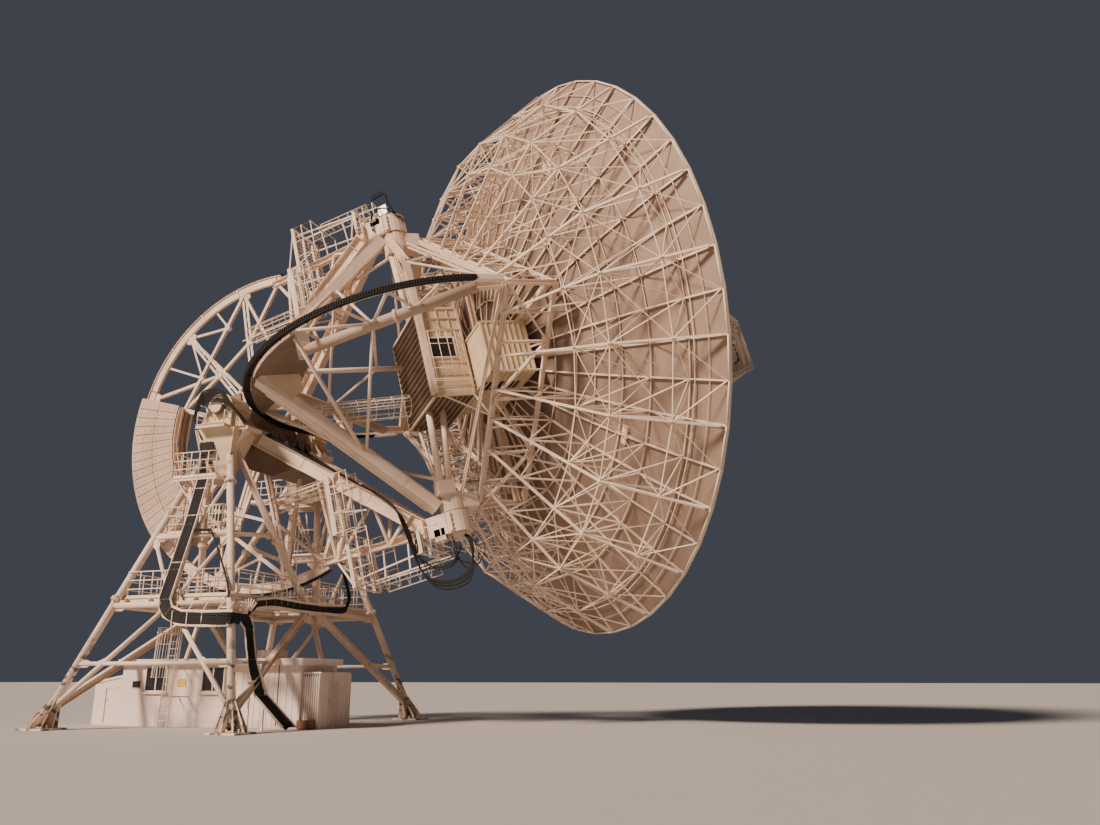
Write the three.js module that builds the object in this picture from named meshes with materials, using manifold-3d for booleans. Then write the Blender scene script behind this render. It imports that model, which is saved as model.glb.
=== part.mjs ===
// A 26 m radio telescope on a two-axis mount, in millimetres, +Z up.
// The origin is on the ground under the middle of the lower axis. The lower axis runs along Y.
// Three groups follow the three bodies: the tower, the frame on the lower axis, and the dish.

import * as THREE from 'three';
import { mergeVertices } from 'three/addons/utils/BufferGeometryUtils.js';
import Module from 'manifold-3d';

const wasm = await Module();
wasm.setup();

// Driving dimensions
const AXIS_HEIGHT = 13320;
const AXIS_OFFSET = 8190;
const X_REST = THREE.MathUtils.degToRad(75.3);
const Y_REST = THREE.MathUtils.degToRad(45);
const GAP = 0.35;

const FOOT = [4380, 6770];
const LEG_TOP = [420, 3300, 11900];
const LEG_R = 200;
const RING_Z = 4750;
const UPPER_RING_Z = 7570;
const LOWER_RING_Z = 2470;
const BEARING_Y = [2450, 3650];
const DECK_X = 1300;
const DECK_Y = [2400, 3400, 4200];
const DECK_HALF = 1100;
const BEARING_DECK = 6800;
const REST_DECK = 3480;
const SHAFT_R = 350;
const SHAFT_SIDES = 32;
const RUN_CLEARANCE = 7.5;

const X_WHEEL_R = 7790;
const Y_WHEEL_R = 7760;
const WHEEL_DEPTH = 480;
const X_WHEEL_ARC = THREE.MathUtils.degToRad(104);
const Y_WHEEL_ARC = THREE.MathUtils.degToRad(97);
const CORNER_V = 6780;
const CORNER_W = 7350;
const HUB_BACK = 1200;
const HUB_FRONT = 3350;

const DISH_R = 13000;
const FOCAL = 10970;
const VERTEX_Z = 3250;
const PANEL_T = 16;
const PANEL_RINGS = [1000, 3000, 5200, 7200, 9200, 11200, 13000];
const SECTORS = 6;
const KNEE = [10350, 3550];
const FEED_RING = [1750, 17450];

// Solids. Each piece is a function of how much it is grown, so that a neighbour can be cut to seat on it.
const V = (x, y, z) => new THREE.Vector3(x, y, z);

function toSolid(geometry) {
  const g = geometry.index ? geometry.clone() : geometry;
  g.deleteAttribute('normal');
  g.deleteAttribute('uv');
  const m = mergeVertices(g, 1e-3);
  return new wasm.Manifold(new wasm.Mesh({
    numProp: 3,
    vertProperties: new Float32Array(m.attributes.position.array),
    triVerts: new Uint32Array(m.index.array),
  }));
}

// A straight bar from a to b: w across, h along the "up" hint, with any number of sides.
function bar(a, b, w, h = w, up = V(0, 0, 1), sides = 4) {
  return (grow) => {
    const dir = b.clone().sub(a).normalize();
    const hint = Math.abs(dir.dot(up)) > 0.98 ? V(dir.y, dir.z, dir.x) : up;
    const side = dir.clone().cross(hint).normalize();
    const top = side.clone().cross(dir).normalize();
    const len = a.distanceTo(b) + 2 * grow;
    const geo = sides === 4
      ? new THREE.BoxGeometry(w + 2 * grow, len, h + 2 * grow)
      : new THREE.CylinderGeometry(w / 2 + grow, w / 2 + grow, len, sides);
    const m = new THREE.Matrix4().makeBasis(side, dir, top);
    m.setPosition(a.clone().add(b).multiplyScalar(0.5));
    geo.applyMatrix4(m);
    return toSolid(geo);
  };
}

// The same bar, made longer (or shorter) at both ends by a length.
function link(a, b, extra, w, h, up, sides = 4) {
  const step = b.clone().sub(a).setLength(extra);
  return bar(a.clone().sub(step), b.clone().add(step), w, h, up, sides);
}

const tube = (a, b, r, sides = 8) => bar(a, b, 2 * r, 2 * r, V(0, 0, 1), sides);

function box(cx, cy, cz, sx, sy, sz) {
  return (grow) => {
    const geo = new THREE.BoxGeometry(sx + 2 * grow, sy + 2 * grow, sz + 2 * grow);
    return toSolid(geo.translate(cx, cy, cz));
  };
}

// A box between two corners.
function block(x0, x1, y0, y1, z0, z1) {
  return box((x0 + x1) / 2, (y0 + y1) / 2, (z0 + z1) / 2, x1 - x0, y1 - y0, z1 - z0);
}

// A box on one side of the origin: its distances from it along X, and its limits along Y and Z.
function sideBlock(sx, [a, b], [y0, y1], [z0, z1]) {
  return block(Math.min(sx * a, sx * b), Math.max(sx * a, sx * b), y0, y1, z0, z1);
}

// A tapered post: bottom and top rectangles, centred on their own points.
function taper(b, bs, t, ts) {
  return (grow) => {
    const geo = new THREE.BoxGeometry(1, 1, 1);
    const p = geo.attributes.position;
    for (let i = 0; i < p.count; i += 1) {
      const isTop = p.getZ(i) > 0;
      const c = isTop ? t : b;
      const s = isTop ? ts : bs;
      const x = c.x + p.getX(i) * (s[0] + 2 * grow);
      const y = c.y + p.getY(i) * (s[1] + 2 * grow);
      p.setXYZ(i, x, y, c.z + (isTop ? grow : -grow));
    }
    return toSolid(geo);
  };
}

// An outline with each of its edges moved outwards; the points run anticlockwise.
function outset(points, grow) {
  const normal = (a, b) => new THREE.Vector2(b[1] - a[1], a[0] - b[0]).normalize();
  return points.map((p, i) => {
    const before = normal(points[(i + points.length - 1) % points.length], p);
    const after = normal(p, points[(i + 1) % points.length]);
    const step = grow / (1 + before.dot(after));
    return new THREE.Vector2(p[0] + (before.x + after.x) * step, p[1] + (before.y + after.y) * step);
  });
}

// A flat plate: outline points in the plane of two axes, with a thickness centred on it.
function plate(points, origin, ex, ey, thickness) {
  return (grow) => {
    const shape = new THREE.Shape(outset(points, grow));
    const t = thickness + 2 * grow;
    const geo = new THREE.ExtrudeGeometry(shape, { depth: t, bevelEnabled: false });
    geo.translate(0, 0, -t / 2);
    const m = new THREE.Matrix4().makeBasis(ex, ey, ex.clone().cross(ey));
    m.setPosition(origin);
    geo.applyMatrix4(m);
    return toSolid(geo);
  };
}

// An arc of a ring about the origin, measured from -Z, in the plane of Z and the given axis.
function arcBand(axis, r0, r1, from, to, thickness, steps, offset = 0) {
  const up = V(0, 0, 1);
  const at = (r, i) => {
    const angle = from + ((to - from) * i) / steps;
    return [r * Math.sin(angle), -r * Math.cos(angle)];
  };
  const indices = Array.from({ length: steps + 1 }, (_, i) => i);
  const pts = [...indices.map((i) => at(r1, i)), ...indices.reverse().map((i) => at(r0, i))];
  return plate(pts, up.clone().cross(axis).multiplyScalar(offset), axis, up, thickness);
}

function union(pieces, grow = 0) {
  return pieces.map((make) => make(grow)).reduce((a, b) => a.add(b));
}

// The largest connected piece of a solid, as a geometry.
function largestPiece(solid) {
  const mesh = solid.getMesh();
  const tri = mesh.triVerts;
  const parent = Uint32Array.from({ length: mesh.vertProperties.length / mesh.numProp }, (_, i) => i);
  const find = (i) => {
    let k = i;
    while (parent[k] !== k) {
      parent[k] = parent[parent[k]];
      k = parent[k];
    }
    return k;
  };
  for (let i = 0; i < tri.length; i += 3) {
    parent[find(tri[i])] = find(tri[i + 1]);
    parent[find(tri[i + 1])] = find(tri[i + 2]);
  }
  const lists = new Map();
  for (let i = 0; i < tri.length; i += 3) {
    const root = find(tri[i]);
    if (!lists.has(root)) lists.set(root, []);
    lists.get(root).push(tri[i], tri[i + 1], tri[i + 2]);
  }
  const best = [...lists.values()].sort((a, b) => b.length - a.length)[0];
  const geo = new THREE.BufferGeometry();
  const pos = new Float32Array(best.length * 3);
  best.forEach((v, i) => {
    for (let k = 0; k < 3; k += 1) pos[i * 3 + k] = mesh.vertProperties[v * mesh.numProp + k];
  });
  geo.setAttribute('position', new THREE.BufferAttribute(pos, 3));
  const merged = mergeVertices(geo, 1e-4);
  merged.computeVertexNormals();
  return merged;
}

function paint(color, roughness = 0.6, metalness = 0.1) {
  return new THREE.MeshStandardMaterial({ color, roughness, metalness });
}

// One named part: its pieces joined, then cut by the grown pieces of the parts it seats on.
function part(group, name, pieces, material, { seatsOn = [], holes = [] } = {}) {
  let solid = union(pieces);
  for (const other of seatsOn) solid = solid.subtract(union(other, GAP));
  for (const hole of holes) solid = solid.subtract(hole(0));
  const mesh = new THREE.Mesh(largestPiece(solid), material());
  mesh.name = name;
  group.add(mesh);
  return pieces;
}

const cream = () => paint(0xd9c8b0);
const tan = () => paint(0xcbb79d);
const dark = () => paint(0x1c1a1b, 0.5, 0.4);
const yellowed = () => paint(0xcdb68c);
const white = () => paint(0xdfd8d0);

const lerp = (a, b, t) => a.clone().lerp(b, t);

// The bore of a bearing: round, with the running clearance, from a to b.
const bore = (a, b) => tube(a, b, SHAFT_R + RUN_CLEARANCE, SHAFT_SIDES);

// Tower
function towerParts(group) {
  const foot = (sx, sy) => V(sx * FOOT[0], sy * FOOT[1], 300);
  const top = (sx, sy) => V(sx * LEG_TOP[0], sy * LEG_TOP[1], LEG_TOP[2]);
  const onLeg = (sx, sy, z) => lerp(foot(sx, sy), top(sx, sy), (z - 300) / (LEG_TOP[2] - 300));
  const ends = { near: -1, far: 1 };
  const sides = { left: -1, right: 1 };
  const pedestals = {};
  const legs = {};
  const endBraces = {};

  // The deck round a bearing narrows outwards, where the reflector passes at its furthest tilt.
  const bearingDeck = (sy) => plate(
    [
      [-DECK_X, DECK_Y[0]], [DECK_X, DECK_Y[0]], [DECK_X, DECK_Y[1]], [DECK_X - 580, DECK_Y[1]],
      [DECK_X - 580, DECK_Y[2]], [580 - DECK_X, DECK_Y[2]], [580 - DECK_X, DECK_Y[1]], [-DECK_X, DECK_Y[1]],
    ].map(([x, y]) => [x * sy, y * sy]),
    V(0, 0, AXIS_HEIGHT - 950), V(1, 0, 0), V(0, 1, 0), 140,
  );

  for (const [end, sy] of Object.entries(ends)) {
    const y = (sy * (BEARING_Y[0] + BEARING_Y[1])) / 2;
    const depth = BEARING_Y[1] - BEARING_Y[0];
    const pieces = [
      tube(V(0, y - depth / 2, AXIS_HEIGHT), V(0, y + depth / 2, AXIS_HEIGHT), 640, 24),
      box(0, y, AXIS_HEIGHT - 450, 1280, depth, 900),
      bearingDeck(sy),
      taper(V(0, sy * 3300, 10300), [1150, 420], V(0, sy * 3100, AXIS_HEIGHT - 1000), [2000, 1500]),
    ];
    pedestals[end] = part(group, `bearing_pedestal_${end}`, pieces, yellowed, {
      holes: [bore(V(0, y - depth, AXIS_HEIGHT), V(0, y + depth, AXIS_HEIGHT))],
    });
    for (const [side, sx] of Object.entries(sides)) {
      const f = foot(sx, sy);
      const dir = top(sx, sy).sub(f).normalize();
      const leg = [
        tube(V(f.x, f.y, 300).addScaledVector(dir, -120), top(sx, sy), LEG_R, 8),
        box(f.x, f.y, 35, 1250, 1250, 70),
        taper(V(f.x, f.y, 60), [900, 900], f.clone().addScaledVector(dir, 750), [440, 440]),
      ];
      for (const z of [RING_Z + 250, 9900]) {
        const c = onLeg(sx, sy, z);
        leg.push(tube(c.clone().addScaledVector(dir, -60), c.clone().addScaledVector(dir, 60), 300, 8));
      }
      legs[`${end}${side}`] = part(group, `leg_${end}_${side}`, leg, cream, { seatsOn: [pedestals[end]] });
    }
    // Struts and braces between the two legs of one end.
    const braces = [];
    for (const [z, r] of [[RING_Z, 120], [UPPER_RING_Z, 95], [LOWER_RING_Z, 80]]) {
      braces.push(tube(onLeg(-1, sy, z), onLeg(1, sy, z), r, 6));
    }
    const mid = (z) => lerp(onLeg(-1, sy, z), onLeg(1, sy, z), 0.5);
    for (const sx of [-1, 1]) {
      braces.push(tube(mid(RING_Z), onLeg(sx, sy, 700), 95, 6));
      braces.push(tube(mid(RING_Z), onLeg(sx, sy, UPPER_RING_Z), 80, 6));
      braces.push(tube(mid(UPPER_RING_Z), onLeg(sx, sy, 10100), 75, 6));
    }
    braces.push(tube(mid(RING_Z), mid(UPPER_RING_Z), 70, 6));
    endBraces[end] = part(group, `end_bracing_${end}`, braces, cream, {
      seatsOn: [legs[`${end}left`], legs[`${end}right`], pedestals[end]],
    });
  }
  // The two long faces: a node half way along each, tied to both bearings and to the ground.
  for (const [side, sx] of Object.entries(sides)) {
    const node = V(sx * 2900, 0, RING_Z);
    const pieces = [
      box(node.x, 0, RING_Z, 420, 900, 420),
      tube(node, V(sx * FOOT[0], 0, 120), 110, 6),
      box(sx * FOOT[0], 0, 60, 700, 700, 120),
    ];
    for (const sy of [-1, 1]) {
      pieces.push(tube(V(node.x, sy * 300, RING_Z), V(sx * 640, sy * 3250, 11650), 150, 6));
      pieces.push(bar(V(node.x, sy * 300, RING_Z), onLeg(sx, sy, 700), 240, 240));
      pieces.push(tube(node, onLeg(sx, sy, RING_Z), 120, 6));
      pieces.push(tube(V(sx * 1750, sy * 1520, 7900), onLeg(sx, sy, UPPER_RING_Z), 90, 6));
      pieces.push(tube(V(sx * 3250, sy * 1700, 3600), onLeg(sx, sy, LOWER_RING_Z), 70, 6));
    }
    part(group, `side_bracing_${side}`, pieces, cream, {
      seatsOn: [legs[`near${side}`], legs[`far${side}`], pedestals.near, pedestals.far],
    });
  }
  // Service deck inside the near end at the ring level.
  const deck = [block(-2450, 2450, -5250, -3250, RING_Z + 250, RING_Z + 310)];
  for (const x of [-2300, 0, 2300]) deck.push(box(x, -4350, RING_Z + 160, 120, 2200, 180));
  part(group, 'service_deck', deck, cream, { seatsOn: [legs.nearleft, legs.nearright, endBraces.near] });
}

// Equipment hut under the tower: walls with a floor, openings cut, and a separate roof.
function hutParts(group) {
  const [x0, x1, y0, y1, h] = [-4150, 1100, -3100, -400, 2500];
  const wall = 110;
  const walls = [block(x0, x1, y0, y1, 0, h)];
  const room = block(x0 + wall, x1 - wall, y0 + wall, y1 - wall, 150, h + 50);
  const holes = [room];
  for (const x of [-2900, 0]) holes.push(block(x, x + 900, y0 - 50, y0 + wall + 50, 1150, 2050));
  holes.push(block(-1700, -850, y0 - 50, y0 + wall + 50, 150, 2150));
  holes.push(block(x0 - 50, x0 + wall + 50, -2100, -1300, 1150, 2050));
  part(group, 'hut_walls', walls, white, { holes });
  part(group, 'hut_roof', [block(x0 - 120, x1 + 3700, y0 - 180, y1 + 100, h + GAP, h + 160)], white);
  const inner = 80;
  const shed = (name, [a0, a1], [b0, b1], top, door) => part(
    group,
    name,
    [block(a0, a1, b0, b1, 0, top)],
    white,
    { holes: [block(a0 + inner, a1 - inner, b0 + inner, b1 - inner, inner, top - inner), door] },
  );
  const storeEnd = x1 + 3500;
  const storeDoor = block(x1 + 1300, x1 + 2200, y1 - 100, y1 + 50, inner, 2050);
  shed('store_room', [x1 + GAP, storeEnd], [y0 + 150, y1], h, storeDoor);
  const cableDoor = block(storeEnd + 700, storeEnd + 900, y0 + 900, y0 + 1700, inner, 1850);
  shed('cable_house', [storeEnd + GAP, storeEnd + 800], [y0 + 300, y1 - 200], 2150, cableDoor);
  const lean = [[0, 0], [1900, 0], [1900, 2050], [0, 1700]];
  const leanHoles = [
    block(x0 - 1820, x0 - 100, -2520, -680, inner, 1600),
    block(x0 - 1300, x0 - 400, -2700, -2500, inner, 1550),
  ];
  part(
    group,
    'side_shed',
    [plate(lean, V(x0 - 1900 - GAP, -1600, 0), V(1, 0, 0), V(0, 0, 1), 2000)],
    white,
    { holes: leanHoles },
  );
}

// Frame that turns on the lower axis: local Z points to the upper axis, local X runs along it.
function xFrameParts(group) {
  const hubs = {};
  const yokes = {};
  const beams = {};
  const ties = {};
  const X = V(1, 0, 0);
  const core = [];
  core.push(tube(V(0, -2300, 0), V(0, 2300, 0), 300, 16));
  for (const sy of [-1, 1]) {
    core.push(tube(V(0, sy * 1550, 0), V(0, sy * 2320, 0), 430, 20));
    core.push(tube(V(0, sy * 2200, 0), V(0, sy * 3900, 0), SHAFT_R, SHAFT_SIDES));
    core.push(box(0, sy * 1925, -250, 2200, 550, 740));
  }
  hubs.core = part(group, 'lower_axis_shaft', core, cream);

  for (const [name, sx] of [['top', -1], ['bottom', 1]]) {
    const pieces = [
      tube(V(sx * 6960, 0, AXIS_OFFSET), V(sx * 7860, 0, AXIS_OFFSET), 620, 20),
      sideBlock(sx, [6960, 7860], [-620, 620], [AXIS_OFFSET - 1250, AXIS_OFFSET - 200]),
      sideBlock(sx, [6990, 7800], [-900, 900], [AXIS_OFFSET - 1300, AXIS_OFFSET - 1150]),
    ];
    yokes[name] = part(group, `upper_bearing_${name}`, pieces, cream, {
      holes: [bore(V(sx * 6800, 0, AXIS_OFFSET), V(sx * 8000, 0, AXIS_OFFSET))],
    });
    for (const [end, sy] of [['near', -1], ['far', 1]]) {
      const a = V(sx * 700, sy * 1950, -150);
      const b = V(sx * 7450, sy * 420, AXIS_OFFSET - 1150);
      beams[`${name}${end}`] = part(group, `yoke_beam_${name}_${end}`, [bar(a, b, 380, 620, X)], cream, {
        seatsOn: [hubs.core, yokes[name]],
      });
    }
  }

  // The gear wheel of the lower axis, in the plane of X and Z.
  const rim = [
    arcBand(X, X_WHEEL_R - WHEEL_DEPTH, X_WHEEL_R, -X_WHEEL_ARC, X_WHEEL_ARC, 60, 42),
    arcBand(X, X_WHEEL_R - 60, X_WHEEL_R, -X_WHEEL_ARC, X_WHEEL_ARC, 420, 42),
  ];
  part(group, 'x_wheel_rim', rim, cream);
  const onRim = (deg, r = X_WHEEL_R - WHEEL_DEPTH - 30, y = 0) => {
    const a = THREE.MathUtils.degToRad(deg);
    return V(r * Math.sin(a), y, -r * Math.cos(a));
  };
  const weights = [];
  for (const [end, sy] of [['near', -1], ['far', 1]]) {
    const pieces = [arcBand(X, 5200, X_WHEEL_R - 90, -0.52, 0.52, 400, 14, sy * (200 + 31))];
    weights.push(part(group, `counterweight_${end}`, pieces, tan, { seatsOn: [rim] }));
  }
  const spokes = [];
  const stations = [-96, -78, -60, -42, -24, -8, 8, 24, 42, 60, 78, 96];
  for (const [i, deg] of stations.entries()) {
    spokes.push(bar(onRim(deg, 600), onRim(deg), 150, 150, V(0, 1, 0)));
    if (i === 0) continue;
    const prev = stations[i - 1];
    spokes.push(bar(onRim(prev, 4200), onRim(deg, 4200), 140, 140, V(0, 1, 0)));
    spokes.push(bar(onRim(i % 2 ? prev : deg, 4200), onRim(i % 2 ? deg : prev), 120, 120, V(0, 1, 0)));
  }
  part(group, 'x_wheel_spokes', spokes, cream, { seatsOn: [hubs.core, rim, weights[0], weights[1]] });
  for (const [name, sx] of [['top', -1], ['bottom', 1]]) {
    // Tie from the end of the wheel to the upper bearing, braced from a knee inside it.
    const knee = V(sx * 5200, 0, 3900);
    const tie = [
      bar(onRim(sx * 101.5), V(sx * 7400, 0, AXIS_OFFSET - 1250), 260, 300, X),
      bar(knee, V(sx * 7420, 0, 5400), 150, 150, V(0, 1, 0)),
      bar(knee, V(sx * 7400, 0, 2300), 150, 150, V(0, 1, 0)),
      bar(knee, onRim(sx * 97, 3900), 150, 150, V(0, 1, 0)),
    ];
    ties[name] = part(group, `x_wheel_tie_${name}`, tie, cream, { seatsOn: [rim, spokes, yokes[name]] });
  }
  // Decks beyond each bearing: one round the bearing, one lower down round the tie, and a ladder between.
  for (const [name, sx] of [['top', -1], ['bottom', 1]]) {
    const wide = [-DECK_HALF, DECK_HALF];
    const deck = [
      sideBlock(sx, [7430, 8800], wide, [BEARING_DECK - 60, BEARING_DECK]),
      sideBlock(sx, [6510, 8950], wide, [REST_DECK - 60, REST_DECK]),
      sideBlock(sx, [7870, 7990], [-500, 500], [BEARING_DECK - 30, BEARING_DECK + 600]),
    ];
    const rise = BEARING_DECK - REST_DECK;
    for (const y of [-260, 260]) deck.push(box(sx * 8730, y, REST_DECK + rise / 2, 70, 60, rise));
    part(group, `access_deck_${name}`, deck, cream, {
      seatsOn: [yokes[name], beams[`${name}near`], beams[`${name}far`], ties[name]],
    });
  }
}

// The dish body: local Z is the boresight, local X the upper axis.
function dishParts(group) {
  const X = V(1, 0, 0);
  const Y = V(0, 1, 0);
  const Z = V(0, 0, 1);
  const surface = (r) => VERTEX_Z + (r * r) / (4 * FOCAL);
  const corners = (z) => [V(-CORNER_V, 0, z), V(0, -CORNER_W, z), V(CORNER_V, 0, z), V(0, CORNER_W, z)];
  const at = (deg, r, z) => {
    const a = THREE.MathUtils.degToRad(deg);
    return V(-r * Math.cos(a), -r * Math.sin(a), z);
  };
  // Distance from the boresight to the side of the diamond in a given direction.
  const reach = (deg) => {
    const a = THREE.MathUtils.degToRad(deg);
    return 1 / (Math.abs(Math.cos(a)) / CORNER_V + Math.abs(Math.sin(a)) / CORNER_W);
  };

  // Hub: a square box frame set cornerwise, with the upper axis through two of its corners.
  const back = corners(HUB_BACK);
  const front = corners(HUB_FRONT);
  const hub = [];
  for (let i = 0; i < 4; i += 1) {
    const j = (i + 1) % 4;
    const trim = 8 * (i % 2);
    hub.push(bar(back[i], back[j], 260, 300 - trim), bar(front[i], front[j], 220, 264 - trim));
    hub.push(bar(back[i], V(front[i].x, front[i].y, HUB_FRONT + 60), 250, 244, X));
    for (let k = 0; k < 4; k += 1) {
      const odd = k % 2;
      const foot = lerp(back[i], back[j], (k + odd) / 4);
      const head = lerp(front[i], front[j], (k + 1 - odd) / 4);
      hub.push(bar(foot, head, 130 - 8 * odd, 130 + 8 * odd));
    }
  }
  const low = corners(HUB_FRONT - 320);
  hub.push(bar(low[0], low[2], 200, 240), bar(low[1], low[3], 200, 228));
  const hubFrame = part(group, 'hub_frame', hub, cream);

  // Trunnions and the brackets that carry them.
  const trunnions = {};
  for (const [name, sx] of [['top', -1], ['bottom', 1]]) {
    const pieces = [
      tube(V(sx * 6300, 0, 0), V(sx * 8050, 0, 0), SHAFT_R, SHAFT_SIDES),
      tube(V(sx * 6150, 0, 0), V(sx * 6900, 0, 0), 560, 20),
      sideBlock(sx, [6200, 6850], [-480, 480], [0, HUB_BACK - 180 - GAP]),
    ];
    trunnions[name] = part(group, `trunnion_${name}`, pieces, cream, { seatsOn: [hubFrame] });
  }

  // Gear wheel of the upper axis, in the plane of Y and Z.
  const rim = [
    arcBand(Y, Y_WHEEL_R - 420, Y_WHEEL_R, -Y_WHEEL_ARC, Y_WHEEL_ARC, 70, 42),
    arcBand(Y, Y_WHEEL_R - 70, Y_WHEEL_R, -Y_WHEEL_ARC, Y_WHEEL_ARC, 400, 42),
  ];
  const wheelRim = part(group, 'y_wheel_rim', rim, dark, { seatsOn: [hubFrame] });
  const ballast = [
    arcBand(Y, 6500, Y_WHEEL_R - 400, -0.49, 0.49, 440, 14),
    plate([[-3300, -6500], [3300, -6500], [1600, -5700], [-1600, -5700]], V(0, 0, 0), Y, Z, 428),
  ];
  const weight = part(group, 'y_counterweight', ballast, cream, { seatsOn: [rim] });
  const beams = [];
  for (const [name, sx] of [['top', -1], ['bottom', 1]]) {
    const pieces = [bar(V(sx * 250, 0, -7250), V(sx * 6650, 0, -720), 480, 560, Y)];
    beams.push(part(group, `wheel_beam_${name}`, pieces, cream, { seatsOn: [trunnions[name], rim, weight] }));
  }
  const wheelAt = (deg, r) => {
    const a = THREE.MathUtils.degToRad(deg);
    return V(0, r * Math.sin(a), -r * Math.cos(a));
  };
  // Braces in the wheel's plane meet its two long tubes at these nodes, and tie it to the box beams.
  const nodes = [V(0, 4110, -3400), V(0, 5350, -2000)];
  const web = [tube(V(0, 0, -5900), V(0, 0, -1000), 110, 6)];
  for (const s of [-1, 1]) {
    const onTube = nodes.map((n) => V(0, s * n.y, n.z));
    web.push(tube(V(0, s * 900, -6850), V(0, s * 7050, 30), 230, 8));
    web.push(bar(V(0, s * 7050, -60), V(0, s * 7230, 1150), 280, 300, X));
    web.push(bar(wheelAt(s * 29, Y_WHEEL_R - 440), onTube[0], 140));
    web.push(bar(wheelAt(s * 46, Y_WHEEL_R - 380), onTube[0], 120));
    web.push(bar(wheelAt(s * 62, Y_WHEEL_R - 380), onTube[0], 130));
    web.push(bar(wheelAt(s * 62, Y_WHEEL_R - 380), onTube[1], 112));
    web.push(bar(wheelAt(s * 78, Y_WHEEL_R - 380), onTube[1], 124));
    web.push(bar(onTube[0], V(0, 0, -2160), 118));
    for (const sx of [-1, 1]) {
      web.push(bar(V(0, s * 3560, -6560), V(sx * 4040, 0, -3350), 170, 170, X));
      web.push(bar(onTube[0], V(sx * 4040, 0, -3350), 136, 136, X));
    }
  }
  const webPart = part(group, 'y_wheel_web', web, cream, {
    seatsOn: [wheelRim, weight, beams[0], beams[1], hubFrame],
  });

  // Equipment rooms behind the reflector.
  const room = (name, [x0, x1, y0, y1, z0, z1], openings, seatsOn) => part(
    group,
    name,
    [block(x0, x1, y0, y1, z0, z1)],
    yellowed,
    { seatsOn, holes: [block(x0 + 70, x1 - 70, y0 + 70, y1 - 70, z0 + 70, z1 - 70), ...openings] },
  );
  const CABIN_X = [-1550, 2600];
  const cabin = room(
    'receiver_cabin',
    [CABIN_X[0], CABIN_X[1], -2600, 1000, -800, HUB_BACK - 220],
    [block(300, 1500, -2700, -2500, -350, 450), block(-400, 400, 900, 1100, -600, 700)],
    [hubFrame, webPart],
  );
  room(
    'vertex_room',
    [80, 2400, -4300, -90, HUB_BACK - 50, HUB_FRONT - 190],
    [block(2300, 2500, -3300, -2400, 1300, 2950)],
    [hubFrame, cabin],
  );
  for (const [name, sx] of [['top', -1], ['bottom', 1]]) {
    const x = sx < 0 ? CABIN_X[0] + 300 : CABIN_X[1] - 300;
    const posts = [
      tube(V(x, -1100, -600), V(sx * 6250, -300, -500), 150, 8),
      tube(V(x, -1100, 60), V(sx * 6250, -300, -180), 150, 8),
      box(sx * 5900, -360, -340, 300, 400, 460),
    ];
    part(group, `cabin_posts_${name}`, posts, cream, { seatsOn: [cabin, trunnions[name], hubFrame] });
  }

  // Reflector panels: a thin shell of flat facets in six petals, meeting over main trusses.
  const petal = (start, end) => (grow) => {
    const steps = Math.round((end - start) / 7.5);
    const verts = [];
    const t = PANEL_T / 2 + grow;
    for (const side of [t, -t]) {
      for (const r of PANEL_RINGS) {
        for (let k = 0; k <= steps; k += 1) {
          const deg = start + k * 7.5;
          const p = at(deg, r, surface(r) + side);
          const tangent = at(deg + 90, 1, 0);
          if (k === 0) p.addScaledVector(tangent, GAP / 2);
          if (k === steps) p.addScaledVector(tangent, -GAP / 2);
          verts.push(p.x, p.y, p.z);
        }
      }
    }
    const w = steps + 1;
    const n = PANEL_RINGS.length;
    const id = (layer, i, k) => layer * n * w + i * w + k;
    const tri = [];
    const quad = (a, b, c, d) => tri.push(a, b, c, a, c, d);
    for (let i = 0; i < n - 1; i += 1) {
      for (let k = 0; k < steps; k += 1) {
        quad(id(0, i, k), id(0, i + 1, k), id(0, i + 1, k + 1), id(0, i, k + 1));
        quad(id(1, i, k), id(1, i, k + 1), id(1, i + 1, k + 1), id(1, i + 1, k));
      }
      quad(id(0, i, 0), id(1, i, 0), id(1, i + 1, 0), id(0, i + 1, 0));
      quad(id(0, i, steps), id(0, i + 1, steps), id(1, i + 1, steps), id(1, i, steps));
    }
    for (let k = 0; k < steps; k += 1) {
      quad(id(0, 0, k), id(0, 0, k + 1), id(1, 0, k + 1), id(1, 0, k));
      quad(id(0, n - 1, k), id(1, n - 1, k), id(1, n - 1, k + 1), id(0, n - 1, k + 1));
    }
    const geo = new THREE.BufferGeometry();
    geo.setAttribute('position', new THREE.Float32BufferAttribute(verts, 3));
    geo.setIndex(tri);
    return toSolid(geo);
  };
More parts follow.
